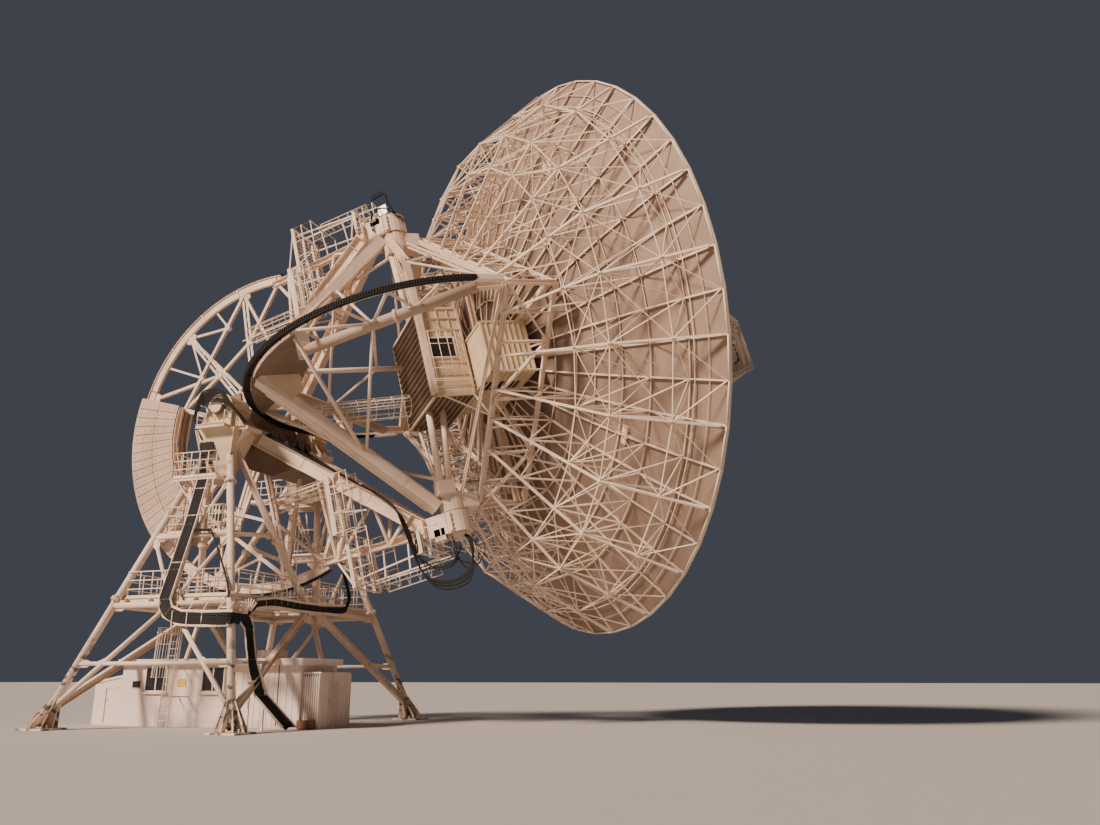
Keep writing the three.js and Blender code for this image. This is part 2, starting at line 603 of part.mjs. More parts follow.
  // Back structure: 24 radial trusses, four to a sector, tied by purlins. Top chords lie under the facets.
  const CHORD = 130;
  const stations = PANEL_RINGS.slice(3);
  const chordZ = (i) => {
    const r = PANEL_RINGS[i];
    const k = Math.min(i + 1, PANEL_RINGS.length - 1);
    const [inner, outer] = [PANEL_RINGS[k - 1], PANEL_RINGS[k]];
    const slope = Math.atan2(surface(outer) - surface(inner), outer - inner);
    return surface(r) - PANEL_T / 2 - GAP - CHORD / 2 / Math.cos(slope);
  };
  const rimZ = chordZ(PANEL_RINGS.length - 1);
  const rearZ = (deg, r) => (r < KNEE[0]
    ? HUB_BACK + ((r - reach(deg)) / (KNEE[0] - reach(deg))) * (KNEE[1] - HUB_BACK)
    : KNEE[1] + ((r - KNEE[0]) / (DISH_R - KNEE[0])) * (rimZ - 60 - KNEE[1]));
  const sectors = [];
  const sectorPieces = (s) => {
    const pieces = [];
    for (let k = 0; k < 4; k += 1) {
      const deg = 7.5 + 60 * s + 15 * k;
      const next = deg + 15;
      const r0 = reach(deg);
      const tilt = at(deg + 90, 1, 0);
      const rear = (r) => at(deg, r, rearZ(deg, r));
      const top = stations.slice(0, -1).map((r, i) => at(deg, r, chordZ(i + 3)));
      top.push(at(deg, DISH_R - 80, rimZ - 45));
      pieces.push(link(rear(r0), rear(KNEE[0]), 21, CHORD - 12, CHORD - 12, tilt));
      pieces.push(link(rear(KNEE[0]), rear(DISH_R - 110), 21, CHORD - 20, CHORD - 18, tilt));
      for (let i = 1; i < top.length; i += 1) {
        pieces.push(link(top[i - 1], top[i], 23, CHORD, CHORD - 6 * (i % 2), tilt));
      }
      for (const [i, r] of [8600, 10200].entries()) {
        pieces.push(link(rear(r), top[i], -17, 90, 90, tilt, 3));
        pieces.push(link(rear(r + 130), top[i + 1], -19, 84, 84, tilt, 3));
      }
      for (const [r, z, zNext] of [
        [9400, rearZ(deg, 9400), rearZ(next, 9400)],
        [10900, chordZ(5) - 170, chordZ(5) - 170],
      ]) {
        pieces.push(link(at(deg, r, z), at(next, r, zNext), -12, 84, 84, Z, 3));
      }
    }
    return pieces;
  };
  for (let s = 0; s < SECTORS; s += 1) sectors.push(sectorPieces(s));
  for (let s = 0; s < SECTORS; s += 1) {
    const seats = [hubFrame];
    if (s > 0) seats.push(sectors[s - 1]);
    if (s === SECTORS - 1) seats.push(sectors[0]);
    part(group, `truss_sector_${s + 1}`, sectors[s], cream, { seatsOn: seats });
  }
  const petals = sectors.map((_, s) => [petal(7.5 + 60 * s, 67.5 + 60 * s)]);
  for (const [s, pieces] of petals.entries()) part(group, `panel_sector_${s + 1}`, pieces, tan);

  // Feed: four legs from the surface to a common tip, with the receiver box between them.
  const legs = [];
  const ringAt = (deg, z = FEED_RING[1]) => at(deg, FEED_RING[0], z);
  for (const deg of [45, 135, 225, 315]) {
    const foot = at(deg, 9000, surface(9000) + PANEL_T / 2 + 70);
    const trim = deg % 180 === 45 ? 0 : 12;
    legs.push(bar(foot, ringAt(deg), 190, 210, at(deg + 90, 1, 0)));
    legs.push(box(foot.x, foot.y, foot.z + 30, 420, 420, 170));
    legs.push(bar(ringAt(deg), ringAt(deg + 90), 150 - trim, 170 - trim));
    legs.push(bar(ringAt(deg), V(0, 0, FEED_RING[1]), 130 - trim, 140 - trim));
  }
  legs.push(box(0, 0, FEED_RING[1] + 40, 620, 620, 260));
  const feedLegs = part(group, 'feed_legs', legs, cream, { seatsOn: petals });
  const feed = [box(0, 0, 15100, 1500, 1500, 1700), box(0, 0, 16650, 900, 900, 1700)];
  part(group, 'feed_box', feed, white, { seatsOn: [feedLegs] });
}

const root = new THREE.Group();
towerParts(root);
hutParts(root);
const xFrame = new THREE.Group();
xFrame.position.set(0, 0, AXIS_HEIGHT);
xFrame.rotation.y = X_REST;
xFrameParts(xFrame);
root.add(xFrame);
const dish = new THREE.Group();
dish.position.set(0, 0, AXIS_OFFSET);
dish.rotation.x = -Y_REST;
dishParts(dish);
xFrame.add(dish);

export default root;
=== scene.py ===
"""Finish and fine structure of a 26 m radio telescope on a two-axis mount, in metres."""
import logging
import random
from dataclasses import dataclass
from enum import Enum
from functools import partial
from itertools import product
from math import ceil, cos, hypot, pi, radians, sin
from typing import Callable, Iterable, Optional, Sequence, Union

import bpy
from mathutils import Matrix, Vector


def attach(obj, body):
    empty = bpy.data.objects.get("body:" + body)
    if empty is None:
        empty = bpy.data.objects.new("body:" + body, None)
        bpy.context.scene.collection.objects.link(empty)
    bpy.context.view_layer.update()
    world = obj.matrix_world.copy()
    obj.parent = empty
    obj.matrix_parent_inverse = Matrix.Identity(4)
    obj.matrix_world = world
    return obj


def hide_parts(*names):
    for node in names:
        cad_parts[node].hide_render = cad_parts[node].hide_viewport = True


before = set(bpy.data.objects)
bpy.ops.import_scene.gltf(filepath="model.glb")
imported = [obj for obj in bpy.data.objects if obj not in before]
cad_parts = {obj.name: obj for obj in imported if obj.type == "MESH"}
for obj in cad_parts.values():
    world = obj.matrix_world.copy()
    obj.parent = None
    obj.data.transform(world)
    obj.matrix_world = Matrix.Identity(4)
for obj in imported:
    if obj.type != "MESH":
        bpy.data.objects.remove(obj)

LOG = logging.getLogger("telescope")
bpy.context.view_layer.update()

# Driving dimensions, in metres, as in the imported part.
AXIS_HEIGHT = 13.32
AXIS_OFFSET = 8.19
REST_X = radians(75.3)
REST_Y = radians(45)
FOOT_X, FOOT_Y = 4.38, 6.77
FOOT_Z = 0.3
LEG_TOP = (0.42, 3.3, 11.9)
LEG_RADIUS = 0.155
LOW_RING, MID_RING, HIGH_RING = 2.47, 4.75, 7.57
Y_WHEEL_RADIUS = 7.76
X_WHEEL_HALF_ARC = 104
CORNER_V, CORNER_W = 6.78, 7.35
HUB_BACK, HUB_FRONT = 1.2, 3.35
DISH_RADIUS = 13
FOCAL_LENGTH = 10.97
VERTEX_Z = 3.25
KNEE_R, KNEE_Z = 10.35, 3.55
FEED_RING_R, FEED_RING_Z = 1.75, 17.45
BEARING_DECK, LOW_DECK = 6.8, 3.48

# The axes of any datum, and the two sides of its middle.
X, Y, Z = Vector((1, 0, 0)), Vector((0, 1, 0)), Vector((0, 0, 1))
SIDES = (-1, 1)

Colour = tuple[float, float, float]
Point = Union[Vector, Sequence[float]]
Route = Sequence[Point]


class Body(Enum):
    """The three bodies that the pieces ride on."""

    TOWER = "tower"
    X_FRAME = "x_frame"
    DISH = "dish"


@dataclass(frozen=True)
class Datum:
    """An origin and three axes, in which one sub-assembly gives its points."""

    body: Body
    origin: Vector
    x: Vector
    y: Vector
    z: Vector

    def at(self, point: Point) -> Vector:
        """The place of a point of this datum in the common frame."""
        return self.origin + self.turn(point)

    def turn(self, vector: Point) -> Vector:
        """The direction of a vector of this datum in the common frame."""
        return self.x * vector[0] + self.y * vector[1] + self.z * vector[2]


def make_datums() -> tuple[Datum, Datum, Datum]:
    """Works out the datums of the ground, of the frame on the lower axis and of the dish.

    Returns:
        The three datums. In the second, Z points to the upper axis. In the third, X runs down the
        upper axis and Z is the direction in which the dish looks.
    """
    across = Y
    up = Vector((sin(REST_X), 0, cos(REST_X)))
    along = Vector((cos(REST_X), 0, -sin(REST_X)))
    axis = Z * AXIS_HEIGHT
    look = up * cos(REST_Y) + across * sin(REST_Y)
    side = across * cos(REST_Y) - up * sin(REST_Y)
    ground = Datum(Body.TOWER, Vector(), X, across, Z)
    x_frame = Datum(Body.X_FRAME, axis, along, across, up)
    dish = Datum(Body.DISH, axis + up * AXIS_OFFSET, along, side, look)
    return ground, x_frame, dish


GROUND, X_FRAME, DISH = make_datums()


def span(*place: Union[float, tuple[float, float]]) -> list[Vector]:
    """Both ends of a line. A coordinate that changes along it is given as a pair."""
    return [Vector([c[i] if isinstance(c, tuple) else c for c in place]) for i in (0, 1)]


def polar(degrees: float, radius: float, z: float = 0) -> Vector:
    """A point of the dish by its angle from the top of the rim, its radius and its depth."""
    a = radians(degrees)
    return Vector((-radius * cos(a), -radius * sin(a), z))


def surface(radius: float) -> float:
    """Depth of the reflector's surface at a radius."""
    return VERTEX_Z + radius * radius / (4 * FOCAL_LENGTH)


def reach(degrees: float) -> float:
    """Distance from the boresight to the side of the square hub in a direction."""
    a = radians(degrees)
    return 1 / (abs(cos(a)) / CORNER_V + abs(sin(a)) / CORNER_W)


def lerp(a: Point, b: Point, t: float) -> Vector:
    """The point at a share t of the way from a to b."""
    return Vector(a).lerp(Vector(b), t)


# Shader maths.
def operator(operation: str, swap: bool = False) -> Callable[["Value", "Number"], "Value"]:
    """Makes an operator that adds one Math node.

    Args:
        operation: what the node does.
        swap: whether the other value comes first, as in a reflected operator.

    Returns:
        The method.
    """

    def apply(value: "Value", other: "Number") -> "Value":
        """The result for two values."""
        a, b = (other, value) if swap else (value, other)
        return value.graph.value("Math", {"operation": operation}, {0: a, 1: b})

    return apply


class Value:
    """A number that varies over a surface. Ordinary operators on it add Math nodes."""

    __add__ = __radd__ = operator("ADD")
    __sub__, __rsub__ = operator("SUBTRACT"), operator("SUBTRACT", True)
    __mul__ = __rmul__ = operator("MULTIPLY")
    __gt__, __lt__ = operator("GREATER_THAN"), operator("LESS_THAN")

    def __init__(self, graph: "Graph", socket: bpy.types.NodeSocket) -> None:
        """Wraps an output socket of a graph."""
        self.graph = graph
        self.socket = socket

    def floor(self) -> "Value":
        """The whole number below."""
        return self.graph.value("Math", {"operation": "FLOOR"}, {0: self})

    def soft_step(self, low: float, high: float) -> "Value":
        """0 below low, 1 above high and a smooth rise between."""
        settings = {"interpolation_type": "SMOOTHSTEP"}
        return self.graph.value("MapRange", settings, {"Value": self, 1: low, 2: high})


Number = Union[Value, float]


class Graph:
    """The node tree of one material."""

    def __init__(self, name: str) -> None:
        """Makes a material with an empty Principled shader.

        Args:
            name: the material's name.
        """
        self.material = bpy.data.materials.new(name)
        self.material.use_nodes = True
        self.tree = self.material.node_tree
        self.shader = self.tree.nodes["Principled BSDF"]
        self.place = self.node("TexCoord", {}, {}).outputs["Object"]

    def node(self, kind: str, settings: dict, inputs: dict) -> bpy.types.Node:
        """Adds a node.

        Args:
            kind: the shader node's type.
            settings: its properties; "stops" holds a ramp's places and colours.
            inputs: a value, a link or a Value for each input socket, by name or number.

        Returns:
            The new node.
        """
        made = self.tree.nodes.new("ShaderNode" + kind)
        for key, value in settings.items():
            if key == "stops":
                self._stops(made.color_ramp, value)
            else:
                setattr(made, key, value)
        for key, value in inputs.items():
            self.feed(made.inputs[key], value)
        return made

    @staticmethod
    def _stops(ramp: bpy.types.ColorRamp, stops: Sequence[tuple[float, Colour]]) -> None:
        """Sets the stops of a colour ramp.

        Args:
            ramp: the ramp.
            stops: a place and a colour for each stop.
        """
        while len(ramp.elements) < len(stops):
            ramp.elements.new(0.5)
        for element, (place, colour) in zip(ramp.elements, stops):
            element.position = place
            element.color = (*colour, 1)

    def feed(self, socket: bpy.types.NodeSocket, value: object) -> None:
        """Sets a socket to a plain value, or links it.

        Args:
            socket: the input socket.
            value: a number, a tuple, a socket or a Value.
        """
        if isinstance(value, Value):
            value = value.socket
        if isinstance(value, bpy.types.NodeSocket):
            self.tree.links.new(value, socket)
        elif isinstance(value, tuple) and socket.type == "RGBA":
            socket.default_value = (*value, 1)
        else:
            socket.default_value = value

    def value(self, kind: str, settings: dict, inputs: dict, output: Union[int, str] = 0) -> Value:
        """Adds a node and wraps one of its outputs."""
        return Value(self, self.node(kind, settings, inputs).outputs[output])

    def noise(self, scale: float, detail: float = 3, stretch: Colour = (1, 1, 1)) -> Value:
        """Soft noise over the object, drawn out along an axis where stretch is small.

        Args:
            scale: how fine it is.
            detail: its octaves.
            stretch: a factor for each axis.

        Returns:
            A value around 0.5.
        """
        place = self.node("Mapping", {}, {"Vector": self.place, "Scale": stretch})
        inputs = {"Vector": place.outputs[0], "Scale": scale, "Detail": detail}
        return self.value("TexNoise", {}, inputs, "Fac")

    def dot(self, axis: Vector, origin: Vector) -> Value:
        """The coordinate of the shaded point along an axis, from an origin.

        Args:
            axis: the direction.
            origin: where the coordinate is 0.

        Returns:
            The coordinate in metres.
        """
        settings = {"operation": "DOT_PRODUCT"}
        out = self.value("VectorMath", settings, {0: self.place, 1: tuple(axis)}, "Value")
        return out - axis.dot(origin)

    def mix(self, share: Number, a: object, b: object) -> bpy.types.NodeSocket:
        """The colour that lies a share of the way from a to b."""
        made = self.node("Mix", {"data_type": "RGBA"}, {0: share, 6: a, 7: b})
        return made.outputs[2]

    def finish(self, colour: object, roughness: Number, metallic: float, height: Value,
               bump: tuple[float, float]) -> None:
        """Feeds the shader.

        Args:
            colour: the base colour.
            roughness: how dull it is.
            metallic: 1 for bare metal.
            height: what the normal follows.
            bump: strength and distance of the height.
        """
        inputs = {"Height": height, "Strength": bump[0], "Distance": bump[1]}
        normal = self.node("Bump", {}, inputs).outputs[0]
        looks = {"Base Color": colour, "Roughness": roughness, "Metallic": metallic, "Normal": normal}
        for name, value in looks.items():
            self.feed(self.shader.inputs[name], value)


@dataclass(frozen=True)
class Finish:
    """A surface finish, made once as a material."""

    name: str
    colour: Colour
    shade: Colour
    roughness: float = 0.55
    metallic: float = 0
    grain: float = 0.25

    def material(self) -> bpy.types.Material:
        """The finish's material, made at its first use.

        Returns:
            The material.
        """
        made = bpy.data.materials.get(self.name)
        if made is None:
            graph = Graph(self.name)
            self.dress(graph)
            made = graph.material
        return made

    def dress(self, graph: Graph) -> None:
        """Gives the graph a mottled colour and a fine grain.

        Args:
            graph: the graph of the material.
        """
        mottle = graph.noise(1.7, 5)
        roughness = mottle * 0.2 + (self.roughness - 0.1)
        grain = graph.noise(60, 2)
        colour = graph.mix(mottle, self.colour, self.shade)
        graph.finish(colour, roughness, self.metallic, grain, (self.grain, 0.003))


@dataclass(frozen=True)
class Paint(Finish):
    """Old paint on steel: mottled, streaked by rain, with rust where it has broken."""

    rust: float = 0.5
    streaks: float = 0.35
    peel_below: float = 0
    rust_colour: Colour = (0.19, 0.075, 0.03)
    dirt_colour: Colour = (0.27, 0.2, 0.14)
    undercoat: Colour = (0.17, 0.17, 0.15)

    def dress(self, graph: Graph) -> None:
        """Gives the graph paint, streaks, rust and, near the ground, peeling.

        Args:
            graph: the graph of the material.
        """
        mottle = graph.noise(0.9, 4).soft_step(0.3, 0.7)
        colour = graph.mix(mottle, self.colour, self.shade)
        runs = graph.noise(2.2, 3, (1, 1, 0.16)).soft_step(0.54, 0.8)
        colour = graph.mix(runs * self.streaks, colour, self.dirt_colour)
        spots = graph.noise(9, 8)
        edge = 0.74 - 0.1 * self.rust
        rust = spots.soft_step(edge, edge + 0.07)
        halo = spots.soft_step(edge - 0.1, edge + 0.05) * 0.35 * self.rust
        colour = graph.mix(halo, colour, (0.42, 0.25, 0.13))
        colour = graph.mix(rust * min(1, self.rust + 0.3), colour, self.rust_colour)
        height = graph.noise(34, 3)
        if self.peel_below > 0:
            low = 1 - graph.dot(Z, Vector()).soft_step(self.peel_below * 0.6, self.peel_below)
            flakes = graph.noise(2.6, 1.5, (1, 1, 1.5)).soft_step(0.56, 0.575) * low
            colour = graph.mix(flakes, colour, self.undercoat)
            height = height - flakes * 2
        roughness = rust * 0.3 + (mottle * 0.12 + self.roughness)
        graph.finish(colour, roughness, self.metallic, height - rust, (self.grain, 0.004))


# Colours of the side of the reflector that looks at the sky.
FRONT, FRONT_SHADE = (0.66, 0.62, 0.57), (0.54, 0.5, 0.45)


@dataclass(frozen=True)
class PanelSheet(Finish):
    """Painted reflector sheet: each panel has a tone of its own, with stains that run outwards and painted
    shade towards the middle.
    """

    rings: tuple[float, ...] = (1, 3, 5.2, 7.2, 9.2, 11.2)
    step: float = 7.5

    def dress(self, graph: Graph) -> None:
        """Gives the graph one tone for each panel, stains, painted shade near the middle and a fine seam
        line.

        Args:
            graph: the graph of the material.
        """
        v = graph.dot(DISH.x, DISH.origin)
        w = graph.dot(DISH.y, DISH.origin)
        radius = graph.value("Math", {"operation": "SQRT"}, {0: v * v + w * w})
        turn = graph.value("Math", {"operation": "ARCTAN2"}, {0: w, 1: v})
        sector = turn * (180 / pi / self.step)
        ring = radius > self.rings[0]
        for r in self.rings[1:]:
            ring = ring + (radius > r)
        cell = graph.node("CombineXYZ", {}, {0: (sector + 0.001).floor(), 1: ring})
        tone = graph.value("TexWhiteNoise", {}, {"Vector": cell.outputs[0]}, "Value")
        stain = graph.noise(1.1, 6).soft_step(0.42, 0.72)
        colour = graph.mix(tone * 0.55, self.colour, self.shade)
        colour = graph.mix(stain * 0.25, colour, (0.27, 0.185, 0.13))
        # Painted shade: the panels darken towards the middle, where the hub and the rooms shade them.
        hub_shade = 1 - radius.soft_step(2.5, 10.5)
        colour = graph.mix(hub_shade * 0.75, colour, (0.13, 0.09, 0.065))
        normal = graph.node("TexCoord", {}, {}).outputs["Normal"]
        settings = {"operation": "DOT_PRODUCT"}
        facing = graph.value("VectorMath", settings, {0: normal, 1: tuple(DISH.z)}, "Value")
        front = graph.mix(tone * 0.4 + stain * 0.3, FRONT, FRONT_SHADE)
        colour = graph.mix(facing > 0.3, colour, front)
        part = sector - sector.floor()
        seam = (part < 0.012) + (part > 0.988)
        for r in self.rings:
            seam = seam + (radius > r - 0.012) * (radius < r + 0.012)
        colour = graph.mix(seam * 0.5, colour, (0.16, 0.12, 0.09))
        roughness = stain * 0.15 + self.roughness
        graph.finish(colour, roughness, self.metallic, graph.noise(3, 2), (self.grain, 0.01))


CREAM = Paint("cream_paint", (0.84, 0.69, 0.56), (0.73, 0.57, 0.44), rust=0.2, streaks=0.2)
TRUSS_PAINT = Paint("truss_paint", (0.92, 0.77, 0.63), (0.82, 0.66, 0.53), rust=0, streaks=0.1)
PALE = Paint("light_cream_paint", (0.87, 0.75, 0.63), (0.77, 0.64, 0.51), rust=0.25, streaks=0.2)
LEG_PAINT = Paint("leg_paint", (0.8, 0.66, 0.54), (0.7, 0.55, 0.43), rust=0.4, peel_below=4)
YELLOWED = Paint("yellowed_paint", (0.72, 0.58, 0.4), (0.62, 0.48, 0.32), rust=0.25, streaks=0.1)
# Painted shade: a dark brown sheet colour for plates, boxes and parts that stand in shade.
SHADED_SHEET = Paint("painted_shade_sheet", (0.22, 0.155, 0.115), (0.16, 0.11, 0.08), rust=0.2, streaks=0.1)
# Painted shade: a darker tan that stands for the half shade on the big tubes from the apex.
HALF_SHADE_PAINT = Paint("tan_half_shade_paint", (0.5, 0.38, 0.28), (0.42, 0.31, 0.22), rust=0.2, streaks=0.2)
WEIGHT_PAINT = Paint("counterweight_paint", (0.6, 0.45, 0.35), (0.5, 0.37, 0.28), rust=0.35, streaks=0.2)
HUT_PAINT = Paint("hut_paint", (0.82, 0.71, 0.64), (0.75, 0.63, 0.55), rust=0, streaks=0.25)
FEED_PAINT = Paint("feed_paint", (0.8, 0.77, 0.72), (0.72, 0.68, 0.62), rust=0.15)
FRONT_PAINT = Paint("reflector_front_paint", FRONT, FRONT_SHADE, rust=0.1)
PANEL = PanelSheet("reflector_sheet", (0.35, 0.25, 0.19), (0.295, 0.205, 0.155), roughness=0.66, grain=0.08)
GEAR = Finish("greased_gear", (0.014, 0.013, 0.013), (0.028, 0.024, 0.022), roughness=0.85, grain=0.4)
CABLE = Finish("black_cable", (0.008, 0.008, 0.009), (0.016, 0.015, 0.015), roughness=0.85, grain=0.1)
GALVANISED = Finish("galvanised_steel", (0.55, 0.53, 0.5), (0.42, 0.4, 0.37), roughness=0.45, metallic=0.6)
GLASS = Finish("window_glass", (0.01, 0.013, 0.018), (0.02, 0.024, 0.032), roughness=0.22, grain=0)
LOUVRE = Finish("dark_louvre", (0.05, 0.045, 0.04), (0.09, 0.08, 0.07), roughness=0.6)
BROWN = Paint("brown_sheet", (0.2, 0.1, 0.045), (0.14, 0.07, 0.03), rust=0.9)
SIGN = Paint("yellow_plate", (0.75, 0.5, 0.05), (0.62, 0.4, 0.05), rust=0.2)


# Sections.
@dataclass(frozen=True)
class Profile:
    """The outline of a section, across its length."""

    points: tuple[tuple[float, float], ...]
    smooth: bool = False


def flat(width: float, height: Optional[float] = None) -> Profile:
    """A rectangular section."""
    x, y = width / 2, (width if height is None else height) / 2
    return Profile(((-x, -y), (x, -y), (x, y), (-x, y)))


def pipe(radius: float, sides: int = 14) -> Profile:
    """A round section.

    Args:
        radius: of the circle.
        sides: of the outline.

    Returns:
        The outline.
    """
    turn = 2 * pi / sides
    points = tuple((radius * cos(i * turn), radius * sin(i * turn)) for i in range(sides))
    return Profile(points, True)


def angle(leg: float, thickness: float = 0.012) -> Profile:
    """An angle section with equal legs."""
    a, t = leg / 2, thickness - leg / 2
    return Profile(((-a, -a), (a, -a), (a, t), (t, t), (t, a), (-a, a)))


def wide_flange(width: float, height: float, flange: float = 0.025, web: float = 0.018) -> Profile:
    """An I section; its height is along the member's top direction.

    Args:
        width: of the flanges.
        height: over both flanges.
        flange: its thickness.
        web: its thickness.

    Returns:
        The outline.
    """
    x, y, s, f = width / 2, height / 2, web / 2, height / 2 - flange
    lower = ((-x, -y), (x, -y), (x, -f), (s, -f))
    upper = ((s, f), (x, f), (x, y), (-x, y), (-x, f), (-s, f), (-s, -f), (-x, -f))
    return Profile(lower + upper)


def channel(width: float, height: float, thickness: float = 0.014) -> Profile:
    """A channel section, open towards one side.

    Args:
        width: of the flanges.
        height: over both flanges.
        thickness: of all three walls.

    Returns:
        The outline.
    """
    x, y, t = width / 2, height / 2, thickness
    return Profile(((-x, -y), (x, -y), (x, t - y), (t - x, t - y), (t - x, y - t), (x, y - t), (x, y),
                    (-x, y)))


def add_object(name: str, data: bpy.types.ID) -> bpy.types.Object:
    """Makes an object and links it to the scene.

    Args:
        name: its name.
        data: its mesh.

    Returns:
        The object.
    """
    made = bpy.data.objects.new(name, data)
    bpy.context.scene.collection.objects.link(made)
    return made


class Steelwork:
    """One mesh put together from members, plates, tubes and fittings in a datum."""

    def __init__(self, name: str, datum: Datum, finish: Finish = CREAM) -> None:
        """Starts an empty mesh.

        Args:
            name: the piece's name.
            datum: where its coordinates are measured from.
            finish: of what comes first.
        """
        self.name = name
        self.datum = datum
        self.verts: list[Vector] = []
        self.faces: list[tuple[int, ...]] = []
        self.smooth: list[bool] = []
        self.slots: list[int] = []
        self.finishes: list[Finish] = [finish]
        self.slot = 0

    def use(self, finish: Finish) -> None:
        """What follows gets this finish.

        Args:
            finish: the finish.
        """
        if finish not in self.finishes:
            self.finishes.append(finish)
        self.slot = self.finishes.index(finish)

    def add(self, verts: Iterable[Vector], faces: Iterable[tuple[int, ...]], smooth: bool = False) -> None:
        """Adds part of a mesh.

        Args:
            verts: its vertices.
            faces: its faces, which count from the first of them.
            smooth: whether four-sided faces are shaded smooth.
        """
        base = len(self.verts)
        self.verts.extend(verts)
        for face in faces:
            self.faces.append(tuple(base + i for i in face))
            self.smooth.append(smooth and len(face) == 4)
            self.slots.append(self.slot)

    def member(self, a: Point, b: Point, profile: Profile, hint: Point = Z, grow: float = 0) -> None:
        """Adds a straight member.

        Args:
            a: one end.
            b: the other end.
            profile: its section.
            hint: roughly the direction of the section's top.
            grow: how much longer it gets at each end.
        """
        a, b, hint = Vector(a), Vector(b), Vector(hint)
        along = (b - a).normalized()
        if abs(along.dot(hint)) > 0.98:
            hint = Vector((along.y, along.z, along.x))
        side = along.cross(hint).normalized()
        top = side.cross(along).normalized()
        ends = (a - along * grow, b + along * grow)
        verts = [end + side * s + top * t for end in ends for s, t in profile.points]
        n = len(profile.points)
        faces = [(i, n + i, n + (i + 1) % n, (i + 1) % n) for i in range(n)]
        faces += [tuple(range(n)), tuple(range(2 * n - 1, n - 1, -1))]
        base = len(self.faces)
        self.add(verts, faces, profile.smooth)
        self.smooth[base + n] = self.smooth[base + n + 1] = False

    def tube(self, a: Point, b: Point, radius: float, sides: int = 14) -> None:
        """Adds a straight round tube."""
        self.member(a, b, pipe(radius, sides))

    def bar(self, a: Point, b: Point, width: float, height: float, hint: Point = Z, grow: float = 0) -> None:
        """Adds a straight rectangular bar."""
        self.member(a, b, flat(width, height), hint, grow)

    def pair(self, a: Point, b: Point, profile: Profile, gap: float, hint: Point = Z) -> None:
        """Adds two members side by side with batten plates between them.

        Args:
            a: one end.
            b: the other end.
            profile: the section of each.
            gap: the distance between them.
            hint: roughly the direction of the section's top.
        """
        a, b = Vector(a), Vector(b)
        along = (b - a).normalized()
        side = along.cross(Vector(hint)).normalized() * (gap / 2)
        for s in SIDES:
            self.member(a + side * s, b + side * s, profile, hint)
        steps = max(2, int((b - a).length / 1.1))
        for i in range(1, steps):
            c = a.lerp(b, i / steps)
            self.bar(c - side, c + side, 0.12, 0.02, hint)

    def block(self, low: Point, high: Point) -> None:
        """Adds a box between two corners, the first of them the lower one."""
        x, y = (low[0] + high[0]) / 2, (low[1] + high[1]) / 2
        self.bar(*span(x, y, (low[2], high[2])), abs(high[0] - low[0]), abs(high[1] - low[1]), Y)

    def plate(self, outline: Route, thickness: float) -> None:
        """Adds a flat plate.

        Args:
            outline: its corners in space, in its middle plane.
            thickness: how thick it is.
        """
        points = [Vector(p) for p in outline]
        normal = Vector()
        for i, p in enumerate(points):
            normal += p.cross(points[(i + 1) % len(points)])
        step = normal.normalized() * (thickness / 2)
        n = len(points)
        faces = [(i, (i + 1) % n, n + (i + 1) % n, n + i) for i in range(n)]
        faces += [tuple(range(n - 1, -1, -1)), tuple(range(n, 2 * n))]
        self.add([p - step for p in points] + [p + step for p in points], faces)

    def gusset(self, centre: Point, along: Point, across: Point, length: float, width: float,
               thickness: float = 0.02) -> None:
        """Adds an eight-sided joint plate.

        Args:
            centre: its middle.
            along: the direction of its length.
            across: roughly the direction of its width.
            length: its length.
            width: its width.
            thickness: its thickness.
        """
        c, e, f = Vector(centre), Vector(along).normalized(), Vector(across)
        f = (f - e * f.dot(e)).normalized()
        x, y = length / 2, width / 2
        corners = ((-x, -y / 2), (-x / 2, -y), (x / 2, -y), (x, -y / 2), (x, y / 2), (x / 2, y),
                   (-x / 2, y), (-x, y / 2))
        self.plate([c + e * s + f * t for s, t in corners], thickness)

    def bolts(self, centre: Point, axis: Point, radius: float, count: int, size: float = 0.035,
              height: float = 0.04) -> None:
        """Adds a ring of hexagon heads.

        Args:
            centre: the middle of the ring.
            axis: the direction of the bolts.
            radius: of the ring.
            count: how many bolts.
            size: across the flats.
            height: of a head, or through both heads.
        """
        c, n = Vector(centre), Vector(axis).normalized()
        e = n.orthogonal().normalized()
        f = n.cross(e)
        for i in range(count):
            a = 2 * pi * i / count
            p = c + (e * cos(a) + f * sin(a)) * radius
            self.member(p - n * height / 2, p + n * height / 2, pipe(size / 2, 6), e)

    def joint(self, centre: Point, axis: Point, radius: float, sides: int = 28) -> None:
        """Adds a bolted flange pair on a tube.

        Args:
            centre: where the flanges meet.
            axis: the tube's direction.
            radius: of the flanges.
            sides: of their outline.
        """
        c, n = Vector(centre), Vector(axis).normalized()
        for s in SIDES:
            self.tube(c + n * s * 0.005, c + n * s * 0.05, radius, sides)
        self.bolts(c, n, radius * 0.87, 12, 0.05, 0.17)

    @staticmethod
    def skin(n: int, steps: int) -> list[tuple[int, ...]]:
        """The faces between rings of n vertices that follow each other in a number of steps."""
        return [(i * n + k, i * n + (k + 1) % n, (i + 1) * n + (k + 1) % n, (i + 1) * n + k)
                for i in range(steps) for k in range(n)]

